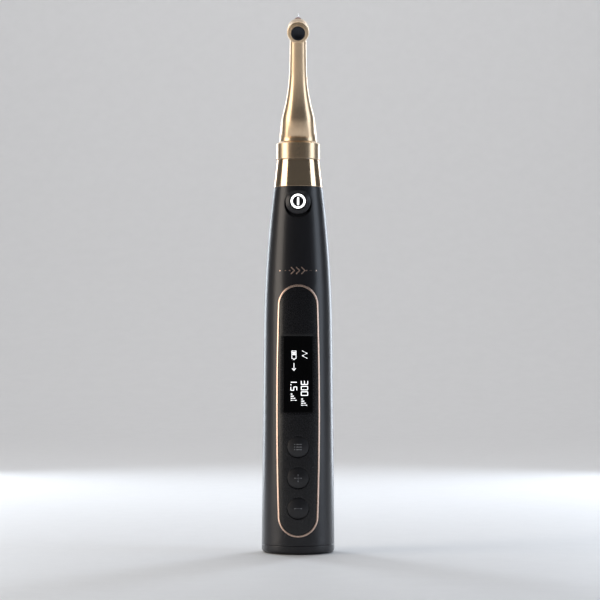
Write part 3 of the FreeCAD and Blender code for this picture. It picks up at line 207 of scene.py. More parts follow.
def turned(outline, where, segments=128, wrap=False):
    """The outline (radius, height) at every angle: x = r cos a, y = r sin a, z = height. An outline that
    starts or ends on the axis gets a pole there."""
    outline = np.array(outline, float)
    angles = np.linspace(0, 2 * math.pi, segments, endpoint=False)
    poles = [None, None]
    if not wrap:
        poles = [at_spot(np.array((0, 0, height)), where) for height in outline[[0, -1], 1]]
        outline = outline[1:-1]
    radius, height = outline[:, :1], outline[:, 1:]
    rings = together(radius * np.cos(angles), radius * np.sin(angles), height)
    return ring_surface(at_spot(rings, where), poles, wrap)


def hoop(name, outline, where, segments, body, slot, replaced, cut, steps=5):
    """A turned ring with a hole: its outline is a closed loop that doesn't touch the axis."""
    shape = turned(rounded(outline, cut, closed=True, steps=steps), where, segments, wrap=True)
    return mesh_piece(name, *shape, body, slot, replaced)


NECK_BEND, NECK_LEAN, NECK_LENGTH = 152.0, math.radians(20.0), 41.5
POWER_KEY_HEIGHT, POWER_KEY_TILT = 127.7, math.radians(6.4)
upright = spot((0, 0, 0), (0, 0, 1))
neck_axis = np.array((0, -math.sin(NECK_LEAN), math.cos(NECK_LEAN)))
neck = spot((0, 0, NECK_BEND), neck_axis)
head = spot((0, 0, NECK_BEND) + neck_axis * NECK_LENGTH, (0, math.cos(NECK_LEAN), math.sin(NECK_LEAN)))
power_spot = spot((0, 0, POWER_KEY_HEIGHT), (0, -math.cos(POWER_KEY_TILT), math.sin(POWER_KEY_TILT)))
print("head axis starts at", np.round(head[0], 2), "mm")

# %% [markdown]
# ## The skin of the handpiece
# The moulded shells narrow in a straight taper and then, above the waist, in one long arc that meets the
# taper without a kink. One function of the height gives the radius, so that the shells, the panel, the trim
# and the window all lie on the same skin.

# %% Radius of the skin
CAP_TOP, BODY_TOP, WAIST = 3.2, 134.5, 81.0
TAIL_RADIUS, WAIST_RADIUS, NOSE_RADIUS = 13.4, 12.65, 9.05
SHELL_WALL = 1.8
taper = (TAIL_RADIUS - WAIST_RADIUS) / (WAIST - CAP_TOP)
slant = math.hypot(1, taper)
rise, step = BODY_TOP - WAIST, WAIST_RADIUS - NOSE_RADIUS
arc = (rise ** 2 + step ** 2) * slant / (2 * (step - rise * taper))
arc_across, arc_up = WAIST_RADIUS - arc / slant, WAIST - arc * taper / slant


def skin(height):
    """Tail radius less the taper up to the waist, then the circle tangent to it."""
    straight = TAIL_RADIUS - taper * (height - CAP_TOP)
    bowed = arc_across + np.sqrt(np.maximum(arc ** 2 - (height - arc_up) ** 2, 0))
    return np.where(height < WAIST, straight, bowed)


def on_skin(across, up, lift=0.0):
    """The point of the skin, raised by lift, that lies straight behind (across, up) in the front view:
    y = -sqrt((R + lift)^2 - x^2)."""
    depth = -np.sqrt(np.maximum((skin(up) + lift) ** 2 - across ** 2, 0.0))
    return together(across, depth, up)


def skin_at(height):
    """The radius of the skin at one height, as a plain number."""
    return float(skin(np.array(height)))


print("skin radius at the tail, waist and nose", [round(skin_at(z), 2) for z in (CAP_TOP, WAIST, BODY_TOP)])

# %% [markdown]
# ## Round holes in a square grid
# The shell and the panel have round and pill-shaped openings, but a grid has square cells. A boolean would
# leave slivers along a curved skin. Instead the grid itself is bent: square rings of grid lines about the
# centre of a hole are pushed onto circles, so that an edge of the hole is one grid line.

# %% Bend a grid round a hole
TINY, NEARLY_MEETING = 1e-9, 0.35


def smooth_step(value):
    """3v^2 - 2v^3 between 0 and 1."""
    value = np.clip(value, 0, 1)
    return value * value * (3 - 2 * value)


def square_distance(across, up, centre):
    """The larger of the two distances from the centre, which numbers the square rings."""
    return np.maximum(np.abs(across - centre[0]), np.abs(up - centre[1]))


def bend_round(across, up, centre, full, gone, start=0.0):
    """A point a, b from the centre moves towards max(|a|, |b|) / sqrt(a^2 + b^2) of its distance: wholly
    up to the ring full, not at all past gone, and coming in smoothly from the ring start."""
    a, b = across - centre[0], up - centre[1]
    square = square_distance(across, up, centre)
    pull = square / np.maximum(np.hypot(a, b), TINY)
    share = smooth_step((gone - square) / (gone - full))
    if start:
        share = share * smooth_step((square - start) / (full - start))
    scale = 1 + (pull - 1) * share
    return centre[0] + a * scale, centre[1] + b * scale


def lines(low, high, spacing, *extra):
    """Grid lines at an even spacing, with the extra ones added and lines that nearly meet dropped."""
    wanted = np.concatenate([np.ravel(values) for values in extra]) if extra else np.array([])
    wanted = wanted[(wanted >= low) & (wanted <= high)]
    even = np.linspace(low, high, max(2, round((high - low) / spacing) + 1))
    if len(wanted):
        nearest = np.abs(even[:, None] - wanted[None, :]).min(1)
        even = even[(nearest > spacing * NEARLY_MEETING) | (even == low) | (even == high)]
    return np.unique(np.round(np.concatenate([even, wanted]), 5))


def both_ways(centre, offsets):
    """Lines at the centre plus and minus each offset."""
    offsets = np.asarray(offsets, float)
    return np.concatenate([centre - offsets, centre + offsets])


def mirrored(level):
    """Lines from the middle outwards, with their mirror images before them."""
    return np.concatenate([-level[::-1], level[1:]])


def bevel(distance, width, drop):
    """A rounded edge: drop (1 - d / width)^2 below the face at a distance d from its end."""
    return drop * np.clip(1 - distance / width, 0, 1) ** 2


def grid_faces(rows, columns):
    """The numbers of a grid's points, its quads and the numbers round its rim."""
    number = np.arange(rows * columns).reshape(rows, columns)
    quads = np.stack([number[:-1, :-1], number[:-1, 1:], number[1:, 1:], number[1:, :-1]], -1).reshape(-1, 4)
    return quads, np.concatenate([number[0, :-1], number[:-1, -1], number[-1, :0:-1], number[:0:-1, 0]])


def grid_slab(front, back):
    """A closed slab between two grids of the same size, with a rim of quads along its four edges."""
    quads, rim = grid_faces(*front.shape[:2])
    total, after = front.shape[0] * front.shape[1], np.roll(rim, -1)
    wall = np.stack([rim, rim + total, after + total, after], -1)
    return np.vstack([front.reshape(-1, 3), back.reshape(-1, 3)]), [quads, quads[:, ::-1] + total, wall]


# %% [markdown]
# ## The pill on the front
# The copper trim follows a pill shape with round ends, whose long sides bow out a little. The trim, the
# panel inside it and the recess in the shell share this outline, so it gets its own function.

# %% Outline of the pill
PILL_LOW, PILL_HIGH, PILL_RADIUS, PILL_BULGE = 6.4, 98.3, 7.43, 0.62
TRIM_WIDTH, TRIM_RISE, TRIM_DEPTH, TRIM_GAP = 0.72, 0.22, 0.95, 0.01
low_centre, high_centre = PILL_LOW + PILL_RADIUS, PILL_HIGH - PILL_RADIUS
half_side = (high_centre - low_centre) / 2
side_arc = (half_side ** 2 + PILL_BULGE ** 2) / (2 * PILL_BULGE)


def side_bow(up):
    """How far the long sides stand out at a height: the circle through both ends of the side."""
    from_middle = np.minimum(np.abs(up - (low_centre + high_centre) / 2), half_side)
    return np.sqrt(side_arc ** 2 - from_middle ** 2) - (side_arc - PILL_BULGE)


def pill_centre(up):
    """The nearest point of the pill's middle line."""
    return 0.0, np.clip(up, low_centre, high_centre)


def pill_path(inset, count=72):
    """Points round the outline, drawn in by inset, and the outward direction at each: a half circle, a
    bowed side, a half circle and the other side."""
    radius = PILL_RADIUS - inset
    turn = np.linspace(0, math.pi, count, endpoint=False)
    side = np.linspace(low_centre, high_centre, count * 2, endpoint=False)
    bow, downwards = side_bow(side), low_centre + high_centre - side
    slope = np.gradient(bow, side)
    parts = [
        (radius * np.cos(turn + math.pi), low_centre + radius * np.sin(turn + math.pi),
         np.cos(turn + math.pi), np.sin(turn + math.pi)),
        (radius + bow, side, np.ones_like(side), -slope),
        (radius * np.cos(turn), high_centre + radius * np.sin(turn), np.cos(turn), np.sin(turn)),
        (-radius - bow, downwards, -np.ones_like(side), slope)]
    across, up, out_across, out_up = (np.concatenate(values) for values in zip(*parts))
    length = np.hypot(out_across, out_up)
    return across, up, out_across / length, out_up / length


print("pill", PILL_HIGH - PILL_LOW, "mm long and", round(2 * (PILL_RADIUS + PILL_BULGE), 2), "mm wide")

# %% [markdown]
# ## The two half shells
# The handpiece is moulded as a front and a rear half that meet in a fine seam at each side. A half shell
# is a C in cross-section, carried up the axis: an outer skin, two seam edges and an inner skin. On the
# front half the outer skin sinks under the panel and into the well of the power key.

# %% Front and rear shells
SEAM_GAP, EDGE = 0.03, 0.14
INNER_COLUMNS, SHELL_COLUMN, SHELL_ROW, GRID_SKIN = 10.0, 1.2, 1.6, 12.2
EDGE_ROWS = np.array((0, 0.03, 0.07, EDGE, 0.3))
PILL_RINGS = (5.0, 6.2, 6.8, 7.0, 7.1, 7.3, 7.6, 8.2, 9.0)
PILL_RECESS, RECESS_DEPTH = 7.05, 1.05
PILL_FULL, PILL_GONE, PILL_START = 7.0, 10.0, 3.4
BOW_IN, BOW_OUT, BOW_FADE, BOW_END = 6.0, 10.0, 2.4, 12.0
WELL_RINGS = (4.0, 4.6, 4.7, 4.75, 4.79, 4.86, 4.98, 5.2, 5.6)
KEY_WELL, WELL_BRIM, WELL_DEPTH, BRIM_WIDTH, BRIM_DROP = 4.75, 4.98, 1.65, 0.23, 0.3
WELL_FULL, WELL_GONE = 5.1, 6.0


def edge_drop(distance):
    """The rounding of a shell's ends and seams."""
    return bevel(distance, EDGE, EDGE)


def front_openings(flat, height):
    """Bends the front half's grid round the pill and the power key. Returns it with the depth of both."""
    pill = square_distance(flat, height, pill_centre(height))
    well = square_distance(flat, height, (0.0, POWER_KEY_HEIGHT))
    past_pill = np.abs(height - pill_centre(height)[1])
    bow = side_bow(height) * smooth_step((BOW_END - past_pill) / BOW_END)
    bow = bow * smooth_step(np.abs(flat) / BOW_IN) * smooth_step((BOW_OUT - np.abs(flat)) / BOW_FADE)
    bent, moved = bend_round(flat, height, pill_centre(height), PILL_FULL, PILL_GONE, PILL_START)
    bent, moved = bend_round(bent + np.sign(flat) * bow, moved, (0.0, POWER_KEY_HEIGHT), WELL_FULL, WELL_GONE)
    brim = BRIM_DROP * np.clip((WELL_BRIM - well) / BRIM_WIDTH, 0, 1) ** 2
    recess = np.where(pill < PILL_RECESS, RECESS_DEPTH, 0)
    return bent, moved, recess + np.where(well < KEY_WELL, WELL_DEPTH, brim)


def shell_rings(front):
    """Rows up the axis of closed C-shaped loops: the outer skin from seam to seam, then the inner skin
    back again."""
    key_lines = np.array(WELL_RINGS) * GRID_SKIN / skin_at(POWER_KEY_HEIGHT) if front else np.array([2.0])
    level = lines(0, INNER_COLUMNS, SHELL_COLUMN, key_lines, PILL_RINGS if front else [5.0])
    side = np.append(np.linspace(0, 1, 22)[1:-1] ** 0.9, (0.993, 0.997, 1.0))
    front_rows = [both_ways(POWER_KEY_HEIGHT, WELL_RINGS), high_centre + np.array(PILL_RINGS),
                  low_centre - np.array(PILL_RINGS)] if front else []
    up = lines(CAP_TOP, BODY_TOP, SHELL_ROW, CAP_TOP + EDGE_ROWS, BODY_TOP - EDGE_ROWS, *front_rows)[:, None]
    flat = mirrored(level)[None, :] * np.minimum(1, skin(up) / GRID_SKIN)
    height = np.broadcast_to(up, flat.shape)
    sunk = np.zeros(flat.shape)
    if front:
        flat, height, sunk = front_openings(flat, height)
    radius = skin(height) - edge_drop(height - CAP_TOP) - edge_drop(BODY_TOP - height)
    middle = np.stack([flat, -np.sqrt(radius ** 2 - flat ** 2) + sunk, height], -1)
    edge_angle = np.arcsin(flat[:, -1:] / radius[:, -1:])
    last_angle = math.pi / 2 - SEAM_GAP / TAIL_RADIUS
    angle = edge_angle + (last_angle - edge_angle) * side[None, :]
    brink = skin(up) - edge_drop(up - CAP_TOP) - edge_drop(BODY_TOP - up)
    drawn_in = brink - edge_drop((last_angle - angle) * brink)
    right = together(drawn_in * np.sin(angle), -drawn_in * np.cos(angle), up)
    outer = np.concatenate([right[:, ::-1] * np.array((-1, 1, 1)), middle, right], axis=1)
    turn = np.linspace(-last_angle, last_angle, outer.shape[1])[None, ::-1]
    inner_radius = skin(up) - SHELL_WALL
    inner = together(inner_radius * np.sin(turn), -inner_radius * np.cos(turn), up)
    return np.concatenate([outer, inner], axis=1)


def half_shell(name, front):
    """The closed loops joined up the axis, with a strip of quads across the wall at each end."""
    rings = shell_rings(front)
    if not front:
        rings = rings * np.array((1, -1, 1))
    rows, columns = rings.shape[:2]
    points, faces = ring_surface(rings)
    outer = np.arange(columns // 2 - 1)
    inner = columns - 1 - outer
    strip = np.stack([outer, inner, inner - 1, outer + 1], -1)
    faces += [strip, strip[:, ::-1] + (rows - 1) * columns]
    return mesh_piece(name, points, faces, "handpiece", "graphite_shell", (name.replace("skin", "shell"),))


shells = [half_shell("front_skin", True), half_shell("rear_skin", False)]

# %% [markdown]
# ## Control panel
# A thin black cover fills the pill. It is a bent grid too, with its own openings: three round wells for the
# keys and a rectangle for the window. The wells are sunk, so that a fine dark gap shows round each key.

# %% Panel cover
PANEL_EDGE, PANEL_DEPTH, PANEL_SINK, PANEL_COLUMN, PANEL_ROW = 6.69, 1.0, 0.01, 0.8, 1.2
PANEL_GONE, PANEL_START, PANEL_BOW_START = PANEL_EDGE + 1, 3.2, 5.7
LENS_HALF, LENS_LOW, LENS_HIGH = 5.4, 51.6, 79.4
KEY_RADIUS = 3.85
KEYS = {"program": 39.2, "plus": 27.9, "minus": 16.9}
KEY_RINGS = (3.2, 3.7, 3.92, 3.96, 4.0, 4.08, 4.2, 4.5, 5.0)
KEY_HOLE, KEY_HOLE_BRIM, KEY_HOLE_BEVEL, KEY_HOLE_FULL, KEY_HOLE_GONE = 3.95, 4.08, 0.12, 4.25, 5.45
HOLE_DEPTH, GAP, LENS_HOLE_BEVEL, LENS_HOLE_DROP = 0.93, 0.1, 0.1, 0.08
LENS_LINES = np.array((-0.14, -0.02, 0.0, 0.05, 0.14))


def panel_heights():
    """The panel's grid, flat in the front view, with the depth of its wells at each point."""
    level = lines(0, PANEL_EDGE, PANEL_COLUMN, KEY_RINGS, LENS_HALF + GAP + LENS_LINES, [6.4, 6.6])
    rows = lines(low_centre - PANEL_EDGE, high_centre + PANEL_EDGE, PANEL_ROW, LENS_HIGH + GAP + LENS_LINES,
                 LENS_LOW - GAP - LENS_LINES, [low_centre, high_centre], low_centre - level,
                 high_centre + level, *[both_ways(up, KEY_RINGS) for up in KEYS.values()])
    across, up = np.meshgrid(mirrored(level), rows)
    depth = np.zeros(across.shape)
    for centre in KEYS.values():
        ring = square_distance(across, up, (0.0, centre))
        brim = bevel(ring - KEY_HOLE_BRIM + KEY_HOLE_BEVEL, KEY_HOLE_BEVEL, KEY_HOLE_BEVEL)
        depth = np.maximum(depth, np.where(ring < KEY_HOLE, HOLE_DEPTH, brim))
    beside = np.maximum(np.abs(across) - LENS_HALF, np.abs(up - (LENS_LOW + LENS_HIGH) / 2)
                        - (LENS_HIGH - LENS_LOW) / 2) - GAP
    brim = bevel(beside, LENS_HOLE_BEVEL, LENS_HOLE_DROP)
    depth = np.maximum(depth, np.where(beside < -0.01, HOLE_DEPTH, brim))
    for centre in KEYS.values():
        across, up = bend_round(across, up, (0.0, centre), KEY_HOLE_FULL, KEY_HOLE_GONE)
    bow = side_bow(up) * np.sign(across) * smooth_step((np.abs(across) - PANEL_BOW_START)
                                                       / (PANEL_EDGE - PANEL_BOW_START))
    bent, up = bend_round(across, up, pill_centre(up), PANEL_EDGE - 0.02, PANEL_GONE, PANEL_START)
    return bent + bow, up, depth


across, up, depth = panel_heights()
flush, inwards = on_skin(across, up, -PANEL_SINK), np.array((0, 1, 0))
panel_shape = grid_slab(flush + depth[..., None] * inwards, flush + PANEL_DEPTH * inwards)
panel = mesh_piece("control_panel", *panel_shape, "handpiece", "panel_black", ("panel_cover",))

# %% [markdown]
# ## Copper trim
# The trim is a thin wire-like frame of rose copper, pressed into the shell round the panel and standing a
# little proud of it. Its cross-section, a rectangle with rounded shoulders, is carried along the pill.

# %% Trim ring
trim_across, trim_up, out_across, out_up = pill_path(TRIM_WIDTH / 2)
half_line = TRIM_WIDTH / 2 - TRIM_GAP
section = rounded([(-half_line, -TRIM_DEPTH), (half_line, -TRIM_DEPTH), (half_line, TRIM_RISE),
                   (-half_line, TRIM_RISE)], (0.05, 0.05, 0.2, 0.2), closed=True, steps=6)
offset, lift = section[None, :, 0], section[None, :, 1]
trim_points = on_skin(trim_across[:, None] + offset * out_across[:, None],
                      trim_up[:, None] + offset * out_up[:, None], lift)
trim = mesh_piece("copper_trim", *ring_surface(trim_points, wrap=True), "handpiece", "trim_copper",
                  ("trim_ring",))

# %% [markdown]
# ## Display window
# The window is a strip of dark glass let into the panel, flush with it and as curved. A grid follows the
# skin, and its lines crowd together at the border, where a small polished bevel drops away.

# %% Window
LENS_DEPTH, LENS_BEVEL = 0.9, 0.12
bevel_lines = np.array([0.0, 0.02, 0.05, 0.09, LENS_BEVEL, 0.2])
lens_columns = lines(-LENS_HALF, LENS_HALF, 0.6, LENS_HALF - bevel_lines, bevel_lines - LENS_HALF)
lens_rows = lines(LENS_LOW, LENS_HIGH, 1.5, LENS_HIGH - bevel_lines, LENS_LOW + bevel_lines)
across, up = np.meshgrid(lens_columns, lens_rows)
from_border = np.minimum(LENS_HALF - np.abs(across), np.minimum(up - LENS_LOW, LENS_HIGH - up))
glass = on_skin(across, up, -bevel(from_border, LENS_BEVEL, LENS_BEVEL))
lens = mesh_piece("display_window", *grid_slab(glass, on_skin(across, up, -LENS_DEPTH)), "handpiece",
                  "display_glass", ("display_lens",))

# %% [markdown]
# ## Keys
# The three keys are low rubber domes. The dome is a parabola from the crown to the rim, turned round the
# key's own axis, which points straight out of the front. Its foot follows the curve of the skin, so that
# the gap round it is as deep at the sides as above and below.

# %% Key domes
KEY_CROWN, KEY_RIM, KEY_SKIRT, KEY_SHOULDER, KEY_ROUNDING = 0.55, 0.15, 0.6, 0.4, 0.22


def key_sizes(height):
    """Crown and rim of a key, measured from the handpiece axis."""
    here = skin_at(height)
    return here + KEY_CROWN, math.sqrt(here ** 2 - KEY_RADIUS ** 2) + KEY_RIM


def dome(height, distance):
    """Crown less (crown - rim) (r / key radius)^2."""
    crown, rim = key_sizes(height)
    return crown - (crown - rim) * (distance / KEY_RADIUS) ** 2


key_pieces = {}
for key, height in KEYS.items():
    rim, here = key_sizes(height)[1], skin_at(height)
    foot, shoulder = here - KEY_SKIRT, KEY_RADIUS - KEY_SHOULDER
    run = np.linspace(0, 1, 14)[:-2] * (KEY_RADIUS - KEY_ROUNDING)
    edge = rounded([(shoulder, dome(height, shoulder)), (KEY_RADIUS, rim), (KEY_RADIUS, foot), (0, foot)],
                   (0, 0.2, 0.05, 0), steps=6)
    outline = np.vstack([np.stack([run, dome(height, run)], -1), edge])
    points, faces = turned(outline, spot((0, 0, height), (0, -1, 0)), 96)
    sunk = -points[:, 1] < foot + 0.01
    points[sunk, 1] += here - np.sqrt(here ** 2 - points[sunk, 0] ** 2)
    key_pieces[key] = mesh_piece(f"{key}_dome", points, faces, f"{key}_button", "key_rubber", (f"{key}_key",))

# %% [markdown]
# ## Printed signs
# The legends on the keys and the readout in the window are thin prints. Each is a set of strokes with round
# ends, a few hundredths of a millimetre thick, laid on the surface below it, so that it follows the curve.

# %% Strokes
PRINT_SINK, PRINT_SIDE, PRINT_BEVEL = 0.04, 0.6, 0.02


def stroke(start, end, width, surface, thickness=0.03, count=9):
    """A flat bar with round ends between two points in the front view. surface(x, z) gives the distance of
    the face below it from the axis plane, and the bar lies on that."""
    start, end = np.array(start, float), np.array(end, float)
    along = (end - start) / np.hypot(*(end - start))
    side = np.array((-along[1], along[0]))
    turn = np.linspace(-math.pi / 2, math.pi / 2, count)
    rings = []
    for radius, rise in ((width / 2, -PRINT_SINK), (width / 2, thickness * PRINT_SIDE),
                         (width / 2 - PRINT_BEVEL, thickness)):
        cap = np.cos(turn)[:, None] * along * radius + np.sin(turn)[:, None] * side * radius
        edge = np.concatenate([end + cap, start - cap])
        rings.append(np.stack([edge[:, 0], -surface(edge[:, 0], edge[:, 1]) - rise, edge[:, 1]], -1))
    middle = (start + end) / 2
    low = np.array((middle[0], -surface(*middle) + PRINT_SINK, middle[1]))
    return ring_surface(np.array(rings), (low, low - np.array((0, PRINT_SINK + thickness, 0))))


def round_line(radius, width, surface, thickness, count=96):
    """A line along a full circle about the origin, with the section of a stroke."""
    angles = np.linspace(0, 2 * math.pi, count, endpoint=False)[:, None]
    across_line = radius + np.array((-0.5, 0.5, 0.5, 0.45, -0.45, -0.5))[None, :] * width
    rise = np.array((-PRINT_SINK, -PRINT_SINK, thickness * PRINT_SIDE, thickness, thickness,
                     thickness * PRINT_SIDE))[None, :]
    across, up = across_line * np.cos(angles), across_line * np.sin(angles)
    return ring_surface(np.stack([across, -surface(across, up) - rise, up], -1), wrap=True)


def key_surface(height):
    """Distance of a key's dome from the axis plane at (x, z)."""
    return lambda x, z: dome(height, np.hypot(x, z - height))


SIGN_LINE, SIGN_HALF, LIST_ROWS = 0.36, 1.25, (-0.95, 0.0, 0.95)
level_bar = ((-SIGN_HALF, 0), (SIGN_HALF, 0))
signs = {
    "plus": [level_bar, ((0, -SIGN_HALF), (0, SIGN_HALF))],
    "minus": [level_bar],
    "program": [((-0.45, y), (1.2, y)) for y in LIST_ROWS]
    + [((-SIGN_HALF, y), (-1.2, y)) for y in LIST_ROWS]}
for key, bars in signs.items():
    base, laid = KEYS[key], key_surface(KEYS[key])
    parts = [stroke((a[0], base + a[1]), (b[0], base + b[1]), SIGN_LINE, laid) for a, b in bars]
    key_pieces[key + "_sign"] = mesh_piece(f"{key}_sign", *merged(parts), f"{key}_button", "icon_light")

# %% [markdown]
# ## The readout
# The display is read with the handpiece lying in the hand, so its lines run down the instrument. Numerals
# are seven bars each, as on a real segment display. The first line shows a motion sign and the speed in
# turns a minute, and the second a cell, a direction arrow and the torque in newton centimetres.

# %% Numerals and small signs
SEGMENTS = {
    "top": ((0, 2), (1, 2)), "middle": ((0, 1), (1, 1)), "bottom": ((0, 0), (1, 0)),
    "low_left": ((0, 0), (0, 1)), "low_right": ((1, 0), (1, 1)),
    "high_left": ((0, 1), (0, 2)), "high_right": ((1, 1), (1, 2))}
GLOW_THICK, NUMERAL_WIDTH, HALF_HEIGHT, CORNER_GAP = 0.012, 0.55, 0.5, 0.09
LIT = {"0": "top bottom low_left low_right high_left high_right", "1": "low_right high_right",
       "3": "top middle bottom low_right high_right", "5": "top middle bottom high_left low_right"}


def window_surface(x, z):
    """The glass lies on the skin: sqrt(R^2 - x^2)."""
    return np.sqrt(skin(np.asarray(z, float)) ** 2 - np.asarray(x, float) ** 2)


def turned_line(base_across, base_up):
    """Writing runs down the window, so a step along the line lowers z and a step up the letter adds x."""
    return lambda point: (base_across + point[1], base_up - point[0])


def readout(lit, place):
    """Strokes given along and above a line of writing, laid on the glass."""
    return [stroke(place(a), place(b), width, window_surface, GLOW_THICK) for a, b, width in lit]


def numeral(sign, start, size, width):
    """The lit bars of one numeral, half as wide as it is tall, drawn a little short of their corners."""
    bars = []
    for name in LIT[sign].split():
        (x0, y0), (x1, y1) = SEGMENTS[name]
        a, b = (np.array((x * NUMERAL_WIDTH, y * HALF_HEIGHT)) * size for x, y in ((x0, y0), (x1, y1)))
        shrink = (b - a) * CORNER_GAP
        bars.append((a + shrink + (start, 0), b - shrink + (start, 0), width))
    return bars


SPEED_SIZE, TORQUE_SIZE, LINE = 2.35, 2.2, 0.27
BAR_COUNT, BAR_PITCH, BAR_LOW, BAR_SHORT, BAR_GROWTH, BAR_LINE = 4, 0.75, 0.1, 0.5, 0.5, 0.3


def rising_bars(start):
    """Four bars, each taller than the one before."""
    places = [(start + step * BAR_PITCH, BAR_SHORT + step * BAR_GROWTH) for step in range(BAR_COUNT)]
    return [((along, BAR_LOW), (along, top), BAR_LINE) for along, top in places]


def polyline(points, width):
    """Strokes from each point to the next."""
    return [(a, b, width) for a, b in zip(points[:-1], points[1:])]


speed_line, torque_line = turned_line(1.15, 74.2), turned_line(-2.65, 74.2)
speed = [numeral(sign, start, SPEED_SIZE, LINE) for start, sign in ((11.0, "3"), (13.0, "0"), (15.0, "0"))]
torque = [numeral(sign, start, TORQUE_SIZE, LINE) for start, sign in ((10.3, "1"), (13.2, "5"))]
motion = polyline([(0.1, 0.4), (1.0, 2.1), (1.9, 0.4), (2.8, 2.1)], 0.24)
cell = [((0.1, 0.4), (2.9, 0.4), 0.2), ((0.1, 1.9), (2.9, 1.9), 0.2), ((0.1, 0.4), (0.1, 1.9), 0.2),
        ((2.9, 0.4), (2.9, 1.9), 0.2), ((3.25, 0.9), (3.25, 1.4), 0.24), ((0.7, 0.85), (0.7, 1.45), 0.5),
        ((1.35, 0.85), (1.35, 1.45), 0.5)]
arrow = [((4.6, 1.15), (7.2, 1.15), 0.22), ((6.5, 0.5), (7.2, 1.15), 0.22), ((6.5, 1.8), (7.2, 1.15), 0.22)]
point = [((12.4, 0.05), (12.42, 0.05), 0.4)]
parts = [shape for bars in speed for shape in readout(bars, speed_line)]
parts += [shape for bars in torque for shape in readout(bars, torque_line)]
parts += readout(point, torque_line) + readout(motion + rising_bars(17.6), speed_line)
parts += readout(cell + arrow + rising_bars(15.8), torque_line)
display_signs = mesh_piece("display_readout", *merged(parts), "handpiece", "icon_light")

# %% [markdown]
# ## Power key
# The power key sits square to the sloping skin. Its rim is bevelled and lacquered like the body, and its
# flat middle is a dark gloss disc with a lit ring and bar, so it is made as three pieces.

# %% Power key, its dark middle and its light
POWER_RADIUS, POWER_FLAT, POWER_CROWN, POWER_DROP = 4.6, 3.3, 0.35, 0.45
POWER_SKIRT, DISH_DEPTH, DISH_SLOPE, DISC_LOW, DISC_SINK, DISC_GAP = 1.3, 0.12, 0.15, 0.3, 0.03, 0.2
LIGHT_RADIUS, LIGHT_LINE, LIGHT_BAR, LIGHT_THICK = 2.7, 0.68, 3.0, 0.02
power_skin = skin_at(POWER_KEY_HEIGHT)
power_low, flat_high = power_skin - POWER_SKIRT, power_skin + POWER_CROWN
bevel_outline = rounded([
    (0, power_low), (POWER_RADIUS, power_low), (POWER_RADIUS, power_skin - POWER_DROP),
    (POWER_FLAT, flat_high), (POWER_FLAT - DISH_SLOPE, flat_high - DISH_DEPTH), (0, flat_high - DISH_DEPTH)],
    (0, 0.1, 0.3, 0.12, 0.03, 0), steps=6)
power_bevel = mesh_piece("power_key_bevel", *turned(bevel_outline, power_spot), "power_button",
                         "graphite_shell", ("power_key",))
disc_low, disc_high, disc_radius = flat_high - DISC_LOW, flat_high - DISC_SINK, POWER_FLAT - DISC_GAP
disc = rounded([(0, disc_low), (disc_radius, disc_low), (disc_radius, disc_high), (0, disc_high)],
               (0, 0.05, 0.08, 0))
power_disc = mesh_piece("power_key_middle", *turned(disc, power_spot), "power_button", "key_rubber")


def power_face(x, z):
    """The flat middle as the strokes see it: its height along the key's own axis."""
    return disc_high + 0 * np.asarray(x, float)


def onto_power_key(shape):
    """Strokes are drawn in a front view, so x, -y and z become the key's side, axis and other side."""
    points, faces = shape
    local = np.stack([points[:, 0], -points[:, 2], -points[:, 1]], -1)
    return at_spot(local, power_spot), faces


ring_line = round_line(LIGHT_RADIUS - LIGHT_LINE / 2, LIGHT_LINE, power_face, LIGHT_THICK)
half_bar = (LIGHT_BAR - LIGHT_LINE) / 2
bar_line = stroke((0, -half_bar), (0, half_bar), LIGHT_LINE, power_face, LIGHT_THICK)
power_light = mesh_piece("power_light", *merged([onto_power_key(ring_line), onto_power_key(bar_line)]),
                         "power_button", "icon_light", ("power_icon",))

# %% [markdown]
# ## Maker's place
# Above the panel a real handpiece carries a name. Here three plain chevrons between two dashes take its
# place, in copper, laid on the skin like a hot-stamped foil.

# %% Copper chevrons
MARK_HEIGHT, MARK_SIZE, MARK_LINE, MARK_THICK, DASH = 103.4, 1.15, 0.42, 0.02, 3.6
bars = [((start, MARK_HEIGHT), (start + DASH, MARK_HEIGHT)) for start in (-6.6, 3.0)]
for shift in (-1.9, 0.0, 1.9):
    bars += [((shift - MARK_SIZE / 2, MARK_HEIGHT + side * MARK_SIZE), (shift + MARK_SIZE / 2, MARK_HEIGHT))
             for side in (1, -1)]
bars = [stroke(start, end, MARK_LINE, window_surface, MARK_THICK) for start, end in bars]
mark = mesh_piece("copper_chevrons", *merged(bars), "handpiece", "trim_copper")

# %% [markdown]
# ## Nose ring and collar
# A polished cone ends the handpiece, and the satin collar of the contra-angle turns just above it. Both
# are hollow, so their outlines are closed loops that don't touch the axis.

# %% Nose ring and collar
NOSE_TOP, NOSE_TIP, SOCKET_RADIUS, FIT = 144.6, 7.85, 7.15, 0.02
nose_bore, nose_low = SOCKET_RADIUS + FIT, BODY_TOP + 2 * FIT
nose_outline = [(nose_bore, nose_low), (NOSE_RADIUS - FIT, nose_low), (NOSE_TIP, NOSE_TOP), (nose_bore, NOSE_TOP)]
nose = hoop("polished_nose", nose_outline, upright, 160, "handpiece", "gold_polished", ("nose_ring",), 0.14)
COLLAR_LOW, COLLAR_HIGH, COLLAR_TOP, COLLAR_RADIUS, BASE_RADIUS = 144.8, 150.6, 151.3, 8.05, 7.05
COLLAR_BORE, COLLAR_MOUTH, COLLAR_WEB = 7.12, 6.22, 0.88
collar_outline = [(COLLAR_BORE, COLLAR_LOW), (COLLAR_RADIUS, COLLAR_LOW), (COLLAR_RADIUS, COLLAR_HIGH),
                  (BASE_RADIUS + FIT, COLLAR_TOP), (COLLAR_MOUTH, COLLAR_TOP),
                  (COLLAR_MOUTH, COLLAR_TOP - COLLAR_WEB), (COLLAR_BORE, COLLAR_TOP - COLLAR_WEB)]
